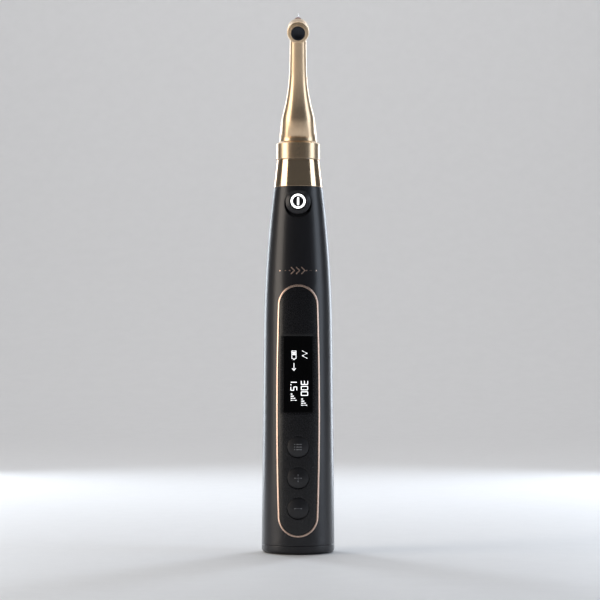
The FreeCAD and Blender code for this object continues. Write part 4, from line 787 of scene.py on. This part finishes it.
collar = hoop("satin_collar", collar_outline, upright, 160, "contra_angle", "gold_satin", ("collar",), 0.12)

# %% [markdown]
# ## Contra-angle housing
# Three turned shapes meet in the housing: a short cone in line with the handpiece, a shoulder and neck that
# lean forward by twenty degrees, and the barrel of the head across the end. Where the leaning shoulder
# leaves the cone it draws the curved crease that is typical of such a body.

# %% Base, neck and head barrel
BASE_PLUG, PLUG_DEPTH, BASE_TIP, BASE_SHOULDER, BASE_HIGH = 6.18, 0.6, 6.35, 7.1, 8.9
plug_low, base_low = COLLAR_TOP - PLUG_DEPTH, COLLAR_TOP + FIT
base_outline = rounded([(0, plug_low), (BASE_PLUG, plug_low), (BASE_PLUG, base_low), (BASE_RADIUS, base_low),
                        (BASE_TIP, NECK_BEND + BASE_SHOULDER), (0, NECK_BEND + BASE_HIGH)],
                       (0, 0.05, 0.05, 0.12, 0.35, 0), steps=6)
base = mesh_piece("housing_base", *turned(base_outline, upright, 160), "contra_angle", "gold_satin",
                  ("angle_housing",))

FOOT, SHOULDER, SHOULDER_LENGTH, SHOULDER_CUT, FOOT_CUT, NECK_SINK = 6.7, 6.05, 8.9, 2.5, 0.3, 0.8
THROAT, THROAT_LENGTH, NECK_TIP, FLARE_ARC, NECK_INSIDE = 3.2, 26.0, 2.9, 70.0, 0.6
HEAD_FILLET, FILLET_START, FLARE_JOIN = 0.75, 0.68, 6


def concave_arc(start, end, radius, count=26):
    """The arc between two points of an outline that bows towards the axis. Its centre lies outside, on
    the line square to the chord through its middle, and the angles run from the side facing the axis."""
    start, end = np.array(start, float), np.array(end, float)
    chord = end - start
    half = np.hypot(*chord) / 2
    normal = np.array((chord[1], -chord[0])) / (2 * half)
    centre = (start + end) / 2 + normal * math.sqrt(radius ** 2 - half ** 2)
    first, last = (math.atan2(*(centre - corner)[::-1]) for corner in (start, end))
    angles = np.linspace(first, last, count)
    return centre - radius * np.stack([np.cos(angles), np.sin(angles)], -1)


flare = concave_arc((SHOULDER, SHOULDER_LENGTH), (THROAT, THROAT_LENGTH), FLARE_ARC)
lower = rounded([(0, 0), (FOOT, 0), (SHOULDER, SHOULDER_LENGTH), tuple(flare[FLARE_JOIN])],
                (0, FOOT_CUT, SHOULDER_CUT, 0), steps=12)
neck_end, tip_rows = NECK_LENGTH - NECK_INSIDE, np.linspace(0, 1, 22)
fillet = HEAD_FILLET * np.clip((tip_rows - FILLET_START) / (1 - FILLET_START), 0, 1) ** 3
upper = np.stack([THROAT + (NECK_TIP - THROAT) * tip_rows + fillet,
                  THROAT_LENGTH + (neck_end - THROAT_LENGTH) * tip_rows], -1)
neck_outline = np.vstack([lower[:-1], flare[FLARE_JOIN:-1], upper, [(0, neck_end)]])
neck_points, neck_faces = turned(neck_outline, neck, 160)
neck_points[:, 2] = np.maximum(neck_points[:, 2], COLLAR_TOP - NECK_SINK)
housing_neck = mesh_piece("housing_neck", neck_points, neck_faces, "contra_angle", "gold_satin")

HEAD_BACK, HEAD_FRONT, HEAD_RADIUS, HEAD_TIP, HEAD_BOW = 5.4, 5.8, 4.0, 2.9, 15.0
HEAD_DRAFT, HEAD_STRAIGHT, FRONT_CUT = 0.05, 2.2, 0.5
bow = concave_arc((HEAD_TIP, HEAD_FRONT - FRONT_CUT), (HEAD_RADIUS, 0), HEAD_BOW, 18)
barrel_outline = np.vstack([
    rounded([(0, -HEAD_BACK), (HEAD_RADIUS - HEAD_DRAFT, -HEAD_BACK),
             (HEAD_RADIUS, HEAD_STRAIGHT - HEAD_BACK), (HEAD_RADIUS, 0)], (0, 0.75, 0.3, 0), steps=9)[:-1],
    bow[::-1][:-1],
    rounded([tuple(bow[1]), (HEAD_TIP, HEAD_FRONT), (0, HEAD_FRONT)], (0, FRONT_CUT, 0), steps=8)[1:]])
barrel = mesh_piece("head_barrel", *turned(barrel_outline, head, 128), "contra_angle", "gold_satin")

# %% [markdown]
# ## Press cap
# The round cap at the back of the head is pressed to let the file go. A gold ring holds it, and its dark
# face is slightly hollow, so that a fingertip finds it.

# %% Cap ring and cap
CAP_RING, CAP_RADIUS, RING_RISE, CAP_PROUD, CAP_DISH = 2.9, 2.5, 1.0, 0.17, 0.35
CAP_GAP, RING_SINK, CAP_SINK, CAP_RIM = 0.05, 0.3, 0.1, 0.45
ring_top, ring_foot = -HEAD_BACK - RING_RISE, -HEAD_BACK + RING_SINK
ring_outline = [(CAP_RADIUS + CAP_GAP, ring_top), (CAP_RING, ring_top), (CAP_RING, ring_foot),
                (CAP_RADIUS + CAP_GAP, ring_foot)]
cap_ring = hoop("cap_gold_ring", ring_outline, head, 96, "contra_angle", "gold_polished", ("cap_ring",), 0.1)
cap_top, cap_foot = ring_top - CAP_PROUD, -HEAD_BACK + CAP_SINK
dish = np.linspace(0, CAP_RADIUS - CAP_RIM, 12)
dish_outline = np.stack([dish, cap_top + CAP_DISH * (1 - (dish / dish[-1]) ** 2)], -1)
cap_edge = rounded([tuple(dish_outline[-1]), (CAP_RADIUS, cap_top), (CAP_RADIUS, cap_foot), (0, cap_foot)],
                   (0, 0.14, 0.05, 0))
cap_outline = np.vstack([dish_outline[:-1], cap_edge])
cap = mesh_piece("press_cap_face", *turned(cap_outline, head, 96), "press_button", "cap_dark", ("press_cap",))

# %% [markdown]
# ## File and stop
# The file has a steel shank and a blade of twisted nickel titanium. Its section is a rounded triangle that
# turns as it goes towards the point, which makes the flutes. A silicone stop marks the working length.

# %% File and stop
SHANK_RADIUS, SHANK_START, SHANK_END, SHANK_CHAMFER = 1.175, -2.2, 8.0, 0.3
GROOVE_LOW, GROOVE_HIGH, GROOVE_DEPTH, GROOVE_SIDE = 6.9, 7.2, 0.2, 0.08
groove_floor = SHANK_RADIUS - GROOVE_DEPTH
shank_outline = rounded(
    [(0, SHANK_START), (SHANK_RADIUS, SHANK_START), (SHANK_RADIUS, GROOVE_LOW),
     (groove_floor, GROOVE_LOW + GROOVE_SIDE), (groove_floor, GROOVE_HIGH),
     (SHANK_RADIUS, GROOVE_HIGH + GROOVE_SIDE), (SHANK_RADIUS, SHANK_END - SHANK_CHAMFER),
     (SHANK_RADIUS - SHANK_CHAMFER, SHANK_END), (0, SHANK_END)], (0, 0.2, 0.05, 0.05, 0.05, 0.05, 0.1, 0.1, 0))
shank = mesh_piece("steel_shank", *turned(shank_outline, head, 64), "file", "file_metal", ("file_shank",))

FILE_RADIUS, FLUTE_START, FILE_TIP, TIP_RADIUS, TIP_LENGTH = 0.5, 16.0, 31.94, 0.125, 0.4
FLUTE_TURNS, FLUTE_TIGHTENING, FLUTE_DEPTH, FLUTE_RUN_IN, FLUTES = 7.0, 1.25, 0.2, 1.2, 3
flute_end = FILE_TIP - TIP_LENGTH
up = np.concatenate([np.linspace(SHANK_END, FLUTE_START, 24)[:-1], np.linspace(FLUTE_START, flute_end, 260),
                     FILE_TIP - TIP_LENGTH * (1 - np.linspace(0.15, 0.97, 8))])[:, None]
angle = np.linspace(0, 2 * math.pi, 36, endpoint=False)[None, :]
share = np.clip((up - FLUTE_START) / (flute_end - FLUTE_START), 0, 1)
pointed = np.sqrt(np.clip((FILE_TIP - up) / TIP_LENGTH, 0, 1))
core = (FILE_RADIUS + (TIP_RADIUS - FILE_RADIUS) * share) * pointed
depth = FLUTE_DEPTH * smooth_step((up - FLUTE_START) / FLUTE_RUN_IN)
turning = 2 * math.pi * FLUTE_TURNS * share ** FLUTE_TIGHTENING
radius = core * (1 - depth * (1 - np.cos(FLUTES * (angle - turning))))
blade_rings = at_spot(together(radius * np.cos(angle), radius * np.sin(angle), up), head)
blade_ends = [at_spot(np.array((0, 0, end)), head) for end in (SHANK_END, FILE_TIP)]
blade = mesh_piece("twisted_blade", *ring_surface(blade_rings, blade_ends), "file", "file_metal",
                   ("file_blade",))

STOP_START, STOP_THICK, STOP_RADIUS, STOP_BORE = 14.2, 1.6, 1.65, 0.54
stop_end = STOP_START + STOP_THICK
stop = hoop("silicone_stop", [(STOP_BORE, STOP_START), (STOP_RADIUS, STOP_START), (STOP_RADIUS, stop_end),
                              (STOP_BORE, stop_end)], head, 72, "stop", "stop_red", ("file_stop",),
            (0.08, 0.4, 0.4, 0.08), steps=7)

# %% [markdown]
# ## End cap
# The tail of the handpiece is closed by a rounded cap with two screws. Its foot is a disc, a bent grid
# again, with two round wells for the screw heads.

# %% End cap and screws
CAP_FOOT_RADIUS, CAP_CORNER, CAP_SEAM, CAP_INSIDE = 13.4, 1.5, 0.02, 10.0
SCREW_OFFSET, SCREW_HEAD, SCREW_SINK, SCREW_SIDES = 9.0, 1.3, 0.3, (-9.0, 9.0)
SCREW_WELL, SCREW_BRIM, BRIM_EDGE, SCREW_WELL_DEPTH = 1.4, 1.46, 0.06, 1.15
SCREW_FULL, SCREW_GONE, ROUND_FADE, RIM_FADE = 1.65, 2.4, 3.0, 0.5
foot_flat, cap_high = CAP_FOOT_RADIUS - CAP_CORNER, CAP_TOP - CAP_SEAM
well_rings = np.array((1.0, 1.38, 1.42, SCREW_BRIM, 1.6, 1.9))
foot_line = mirrored(lines(0, foot_flat, 1.0, both_ways(SCREW_OFFSET, well_rings), well_rings))
across, back = np.meshgrid(foot_line, foot_line)
well = np.minimum(*[square_distance(across, back, (side, 0)) for side in SCREW_SIDES])
brim = BRIM_EDGE * np.clip((SCREW_BRIM - well) / BRIM_EDGE, 0, 1)
depth = np.where(well < SCREW_WELL, SCREW_WELL_DEPTH, brim)
roundness = np.maximum(smooth_step((well - SCREW_GONE) / ROUND_FADE),
                       smooth_step((square_distance(across, back, (0, 0)) - foot_flat + RIM_FADE) / RIM_FADE))
for side in SCREW_SIDES:
    across, back = bend_round(across, back, (side, 0), SCREW_FULL, SCREW_GONE)
round_across, round_back = bend_round(across, back, (0, 0), foot_flat, foot_flat + 1)
across, back = across + (round_across - across) * roundness, back + (round_back - back) * roundness
foot_points = np.stack([across, back, depth], -1).reshape(-1, 3)
quads, rim = grid_faces(*across.shape)
outwards = foot_points[rim, :2] / np.linalg.norm(foot_points[rim, :2], axis=1, keepdims=True)
turn = np.linspace(0, math.pi / 2, 9)[1:]
side_profile = np.concatenate([
    np.stack([foot_flat + CAP_CORNER * np.sin(turn), CAP_CORNER * (1 - np.cos(turn))], -1),
    rounded([(CAP_FOOT_RADIUS, CAP_CORNER), (CAP_FOOT_RADIUS, cap_high), (CAP_INSIDE, cap_high)],
            (0, 0.14, 0))[1:]])
radius, height = side_profile[:, None, 0], side_profile[:, None, 1]
side_rings = together(outwards[:, 0] * radius, outwards[:, 1] * radius, height)
points = np.vstack([foot_points, side_rings.reshape(-1, 3), [(0, 0, cap_high)]])
ring_numbers = np.vstack([rim, len(foot_points) + np.arange(side_rings[..., 0].size).reshape(-1, len(rim))])
beside = np.roll(ring_numbers, -1, 1)
walls = np.stack([ring_numbers[:-1], beside[:-1], beside[1:], ring_numbers[1:]], -1).reshape(-1, 4)
lid = np.stack([ring_numbers[-1], beside[-1], np.full(len(rim), len(points) - 1)], -1)
end_cap = mesh_piece("tail_cap", points, [faces[:, ::-1] for faces in (quads, walls, lid)], "handpiece",
                     "graphite_shell", ("end_cap",))

LOBES, LOBE_RADIUS, LOBE_DEPTH, RECESS, HEAD_HEIGHT = 6, 0.62, 0.12, 0.55, 0.8


def screw_shape(side):
    """A round head with a six-lobed recess, whose radius is 0.62 + 0.12 cos 6a, on its own foot."""
    angle = np.linspace(0, 2 * math.pi, 72, endpoint=False)
    lobes = LOBE_RADIUS + LOBE_DEPTH * np.cos(LOBES * angle)
    lobe_rows = ((0.6, RECESS), (0.93, RECESS), (0.97, 0.1), (1.0, 0.03), (1.06, 0))
    recess = [(lobes * share, high) for share, high in lobe_rows]
    outside = [(SCREW_HEAD - 0.2, 0), (SCREW_HEAD - 0.06, 0.03), (SCREW_HEAD, 0.12), (SCREW_HEAD, 0.6),
               (0.7, HEAD_HEIGHT)]
    rings = np.array([together(side + radius * np.cos(angle), radius * np.sin(angle), SCREW_SINK + high)
                      for radius, high in recess + outside])
    return ring_surface(rings, [np.array((side, 0, SCREW_SINK + high)) for high in (RECESS, HEAD_HEIGHT)])


screws = mesh_piece("tail_screws", *merged([screw_shape(side) for side in SCREW_SIDES]), "handpiece", "steel",
                    ("cap_screws",))

# %% [markdown]
# ## Finishes
# A finish is a node material round one Principled shader. Fine noise moves the roughness and makes a faint
# relief, broad noise varies the colour a little, and the convex edges are slightly worn. All the patterns
# read Object coordinates, which are metres here, so a scale of 2000 gives grains of half a millimetre. A
# value that is the same everywhere is set on the shader's own socket.

# %% Building a finish
BROAD_GRAIN, PATCH_GRAIN, EDGE_RANGE, RELIEF_DEPTH = 90, 600, (0.53, 0.62), 0.00005


def link(tree, output, target):
    tree.links.new(output, target)


def noise(tree, coordinates, scale, detail=3.0, stretch=(1, 1, 1)):
    """Noise of that scale on the coordinates, squeezed along an axis where stretch is large."""
    mapping = tree.nodes.new("ShaderNodeMapping")
    mapping.inputs["Scale"].default_value = stretch
    texture = tree.nodes.new("ShaderNodeTexNoise")
    texture.inputs["Scale"].default_value = scale
    texture.inputs["Detail"].default_value = detail
    link(tree, coordinates, mapping.inputs["Vector"])
    link(tree, mapping.outputs["Vector"], texture.inputs["Vector"])
    return texture.outputs["Fac"]


def spread(tree, value, low, high, start=0.3, end=0.7):
    """A value from start to end becomes one from low to high. Noise lies mostly between 0.3 and 0.7."""
    ranged = tree.nodes.new("ShaderNodeMapRange")
    for socket, amount in (("From Min", start), ("From Max", end), ("To Min", low), ("To Max", high)):
        ranged.inputs[socket].default_value = amount
    link(tree, value, ranged.inputs["Value"])
    return ranged.outputs["Result"]


def mixed(tree, share, first, second):
    """The mix of two colours by the share. Each is a list of four numbers or an output."""
    mix = tree.nodes.new("ShaderNodeMix")
    mix.data_type = "RGBA"
    link(tree, share, mix.inputs["Factor"])
    for colour, socket in ((first, mix.inputs["A"]), (second, mix.inputs["B"])):
        if isinstance(colour, list):
            socket.default_value = colour
        else:
            link(tree, colour, socket)
    return mix.outputs["Result"]


def finish(name, colour, roughness, metallic=0.0, mottle=0.12, grain=2400, relief=0.04, stretch=(1, 1, 1),
           roughness_spread=0.06, worn=None, wear=0.5, glow=0.0, **uniform):
    """A material whose colour, roughness and relief vary as its real surface does."""
    material = bpy.data.materials.new(name)
    material.use_nodes = True
    tree = material.node_tree
    shader = tree.nodes["Principled BSDF"]
    coordinates = tree.nodes.new("ShaderNodeTexCoord").outputs["Object"]
    dark, light = ([channel * factor for channel in colour] + [1] for factor in (1 - mottle, 1 + mottle))
    base_colour = mixed(tree, spread(tree, noise(tree, coordinates, BROAD_GRAIN, 2.0), 0, 1), dark, light)
    if worn is not None:
        convex = tree.nodes.new("ShaderNodeNewGeometry").outputs["Pointiness"]
        patchy = tree.nodes.new("ShaderNodeMath")
        patchy.operation = "MULTIPLY"
        link(tree, spread(tree, convex, 0, wear, *EDGE_RANGE), patchy.inputs[0])
        link(tree, spread(tree, noise(tree, coordinates, PATCH_GRAIN, 4.0), 0.2, 1.0), patchy.inputs[1])
        base_colour = mixed(tree, patchy.outputs["Value"], base_colour, list(worn) + [1])
    link(tree, base_colour, shader.inputs["Base Color"])
    fine = noise(tree, coordinates, grain, 3.0, stretch)
    link(tree, spread(tree, fine, max(0.02, roughness - roughness_spread), roughness + roughness_spread),
         shader.inputs["Roughness"])
    bump = tree.nodes.new("ShaderNodeBump")
    bump.inputs["Strength"].default_value = relief
    bump.inputs["Distance"].default_value = RELIEF_DEPTH
    link(tree, fine, bump.inputs["Height"])
    link(tree, bump.outputs["Normal"], shader.inputs["Normal"])
    shader.inputs["Metallic"].default_value = metallic
    if glow:
        shader.inputs["Emission Color"].default_value = (1.0, 1.0, 1.0, 1.0)
        shader.inputs["Emission Strength"].default_value = glow
    for socket, amount in uniform.items():
        shader.inputs[socket.replace("_", " ").title().replace("Ior", "IOR")].default_value = amount
    print("finish", name)
    return material


# %% [markdown]
# ## The finishes of this instrument
# The shells are lacquered graphite with a soft sheen, the panel and window are glossy black, the trim is
# rose copper. The nose is polished gold, and the contra-angle is champagne gold, blasted to a satin. Inside
# are steel, bronze, brass, copper wire, board green and a wrapped cell.

# %% Visible finishes
turned_marks = (0.05, 0.05, 3.0)
metal = {"metallic": 1.0, "relief": 0.05}
finishes = {
    "graphite_shell": finish("graphite_lacquer", (0.018, 0.018, 0.022), 0.34, metallic=0.35, relief=0.10,
                             grain=5200, mottle=0.10, worn=(0.09, 0.09, 0.10), coat_weight=0.25,
                             coat_roughness=0.22),
    "panel_black": finish("panel_gloss", (0.006, 0.006, 0.008), 0.26, relief=0.03, grain=3000, mottle=0.15,
                          worn=(0.05, 0.05, 0.055), wear=0.4, coat_weight=0.15, coat_roughness=0.12),
    "trim_copper": finish("rose_copper", (0.80, 0.58, 0.47), 0.30, metallic=1.0, relief=0.02, grain=3500,
                          mottle=0.04, worn=(0.82, 0.62, 0.51), wear=0.4),
    "display_glass": finish("dark_window", (0.001, 0.001, 0.0014), 0.07, relief=0.01, grain=800,
                            mottle=0.2, roughness_spread=0.03, specular_ior_level=0.22),
    "key_rubber": finish("key_rubber", (0.012, 0.012, 0.015), 0.42, relief=0.14, grain=6500, mottle=0.15,
                         worn=(0.05, 0.05, 0.055)),
    "gold_polished": finish("polished_gold", (0.82, 0.62, 0.42), 0.13, metallic=1.0, relief=0.03, grain=900,
                            stretch=turned_marks, roughness_spread=0.04, mottle=0.05,
                            worn=(0.92, 0.80, 0.62)),
    "gold_satin": finish("satin_champagne", (0.80, 0.60, 0.40), 0.29, metallic=1.0, relief=0.10, grain=7000,
                         mottle=0.06, roughness_spread=0.05, worn=(0.92, 0.82, 0.66), wear=0.6),
    "cap_dark": finish("dark_cap", (0.035, 0.038, 0.048), 0.22, metallic=0.8, grain=2600,
                       worn=(0.22, 0.22, 0.24), wear=0.6),
    "steel": finish("steel", (0.52, 0.52, 0.53), 0.26, **metal, grain=2200, worn=(0.70, 0.70, 0.71)),
    "file_metal": finish("file_alloy", (0.48, 0.47, 0.46), 0.30, metallic=1.0, relief=0.06, grain=5000,
                         worn=(0.66, 0.65, 0.63)),
    "stop_red": finish("stop_silicone", (0.20, 0.012, 0.014), 0.52, relief=0.12, grain=5200,
                       subsurface_weight=0.15, subsurface_scale=0.001),
    "brass_gold": finish("brass", (0.72, 0.52, 0.24), 0.26, **metal, grain=2500, worn=(0.85, 0.70, 0.42)),
    "bronze": finish("bronze", (0.42, 0.26, 0.13), 0.34, metallic=1.0, relief=0.08, grain=3500,
                     worn=(0.60, 0.42, 0.25)),
    "seal_rubber": finish("seal_rubber", (0.016, 0.016, 0.017), 0.55, relief=0.15, grain=5000),
    "frame_plastic": finish("frame_plastic", (0.10, 0.10, 0.105), 0.48, relief=0.18, grain=4200),
    "board_green": finish("board_green", (0.012, 0.10, 0.045), 0.36, relief=0.10, grain=3000, mottle=0.25,
                          coat_weight=0.3, coat_roughness=0.25),
    "chip_black": finish("chip_black", (0.02, 0.02, 0.021), 0.45, relief=0.16, grain=6000),
    "battery_wrap": finish("cell_wrap", (0.03, 0.13, 0.34), 0.30, relief=0.06, grain=700, mottle=0.08,
                           coat_weight=0.3, coat_roughness=0.15),
    "copper_wire": finish("copper_wire", (0.62, 0.27, 0.14), 0.32, metallic=1.0, relief=0.35, grain=2600,
                          stretch=(1, 1, 4)),
    "ferrite": finish("ferrite", (0.045, 0.043, 0.042), 0.60, relief=0.20, grain=4000, mottle=0.2),
    "icon_light": finish("window_light", (0.8, 0.85, 0.9), 0.4, relief=0.02, glow=1.3)}
printed_sign = finish("printed_sign", (0.20, 0.205, 0.22), 0.40, relief=0.05, grain=5000)
power_glow = finish("power_glow", (0.85, 0.88, 0.92), 0.35, relief=0.02, glow=2.6)

# %% [markdown]
# ## Putting the finishes on
# Each new piece names a slot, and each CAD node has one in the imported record, so one loop dresses them all.
# The signs on the keys are printed and don't shine, and the power light is brighter than the readout.

# %% Dress every piece
slot_of = {part["node"]: part["material_slot"] for part in frame["record"]["subparts"]}


def dress(obj, material):
    obj.data.materials.clear()
    obj.data.materials.append(material)


for node, obj in frame["nodes"].items():
    dress(obj, finishes[slot_of[node]])
new_pieces = {
    "graphite_shell": shells + [power_bevel, end_cap], "panel_black": [panel],
    "trim_copper": [trim, mark], "display_glass": [lens], "icon_light": [display_signs],
    "key_rubber": [power_disc] + [key_pieces[key] for key in KEYS], "gold_polished": [nose, cap_ring],
    "gold_satin": [collar, base, housing_neck, barrel], "cap_dark": [cap], "steel": [screws],
    "file_metal": [shank, blade], "stop_red": [stop]}
for slot_name, objects in new_pieces.items():
    for obj in objects:
        dress(obj, finishes[slot_name])
for key in KEYS:
    dress(key_pieces[key + "_sign"], printed_sign)
dress(power_light, power_glow)
print("pieces dressed", sum(len(objects) for objects in new_pieces.values()) + len(KEYS) + 1)

# %% [markdown]
# ## Studio
# The instrument stands on a plain pale floor that sweeps up into a backdrop, so no horizon shows. A long
# soft light on each side behind it draws the bright rims, a warm one lights the left of the front and a
# cooler, weaker one the right.

# %% Floor
def sweep(width, front, back, height, bend):
    """A floor that turns up in a quarter circle: the profile (y, z) is a line, an arc and a line, carried
    across in x."""
    turn = np.linspace(0, math.pi / 2, 24)
    profile = np.concatenate([[(front, 0)], np.stack([back - bend + bend * np.sin(turn),
                                                      bend * (1 - np.cos(turn))], -1), [(back, height)]])
    points = together(np.linspace(-width / 2, width / 2, 9)[None, :], profile[:, :1], profile[:, 1:])
    return points.reshape(-1, 3), [grid_faces(*points.shape[:2])[0]]


floor = smooth_object("studio_floor", *sweep(width=6.0, front=-2.5, back=1.6, height=2.5, bend=0.7))
dress(floor, finish("pale_floor", (0.74, 0.74, 0.75), 0.6, relief=0.02, grain=300, mottle=0.01))
floor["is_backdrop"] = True

# %% Lights
def look_from(obj, place, aim):
    """Puts a light or camera at a place, turned to look at the aim."""
    obj.location = place
    obj.rotation_euler = (Vector(aim) - Vector(place)).to_track_quat("-Z", "Y").to_euler()


def soft_light(name, place, aim, size, watts, colour):
    """A rectangular area light of that width and height in metres, turned to look at the aim."""
    light = bpy.data.lights.new(name, "AREA")
    light.shape, light.size, light.size_y = "RECTANGLE", size[0], size[1]
    light.energy, light.color = watts, colour
    look_from(add_object(name, light), place, aim)


WHITE, middle = (1.0, 1.0, 1.0), (0, 0, 0.10)
soft_light("warm_left", (-0.72, -0.20, 0.24), middle, (0.42, 0.80), 3.6, (1.0, 0.90, 0.78))
soft_light("cool_right", (0.74, -0.12, 0.22), middle, (0.34, 0.80), 2.2, (0.80, 0.89, 1.0))
soft_light("left_rim", (-0.27, 0.42, 0.20), middle, (0.12, 0.70), 1.5, (0.84, 0.92, 1.0))
soft_light("right_rim", (0.27, 0.42, 0.20), middle, (0.12, 0.70), 1.7, (0.80, 0.89, 1.0))
soft_light("overhead", (0.0, 0.35, 1.5), (0, 0.5, 0), (1.6, 1.2), 5.0, WHITE)
soft_light("backdrop_light", (0.0, 0.4, 1.3), (0, 1.6, 0.35), (2.2, 0.5), 12.0, WHITE)
world = bpy.data.worlds.new("studio")
world.use_nodes = True
background = world.node_tree.nodes["Background"].inputs
background["Color"].default_value, background["Strength"].default_value = (0.80, 0.83, 0.88, 1), 0.11
bpy.context.scene.world = world
bpy.context.scene.view_settings.view_transform = "Standard"
print("lights", len(bpy.data.lights))

# %% [markdown]
# ## Camera
# The picture is taken from the front, a little below the middle of the instrument, with a long lens, so
# that the tall thin shape isn't distorted.

# %% Camera
camera_data = bpy.data.cameras.new("front_camera")
camera_data.sensor_width, camera_data.lens = 36.0, 125.7
camera = add_object("front_camera", camera_data)
look_from(camera, (0.0007, -0.775, 0.075), (0.0007, 0.0, 0.0929))
bpy.context.scene.camera = camera

# %% [markdown]
# ## The sizes of both models
# The box of the model that is seen and the box of the CAD model are both printed. The model that is seen
# has to stay inside the box of the CAD model.

# %% Sizes
visual_box = [list(corner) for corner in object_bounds()]
for label, box in (("CAD", cad_box), ("visual", visual_box)):
    print(label, "box in mm", [[round(value * 1000, 2) for value in corner] for corner in box])
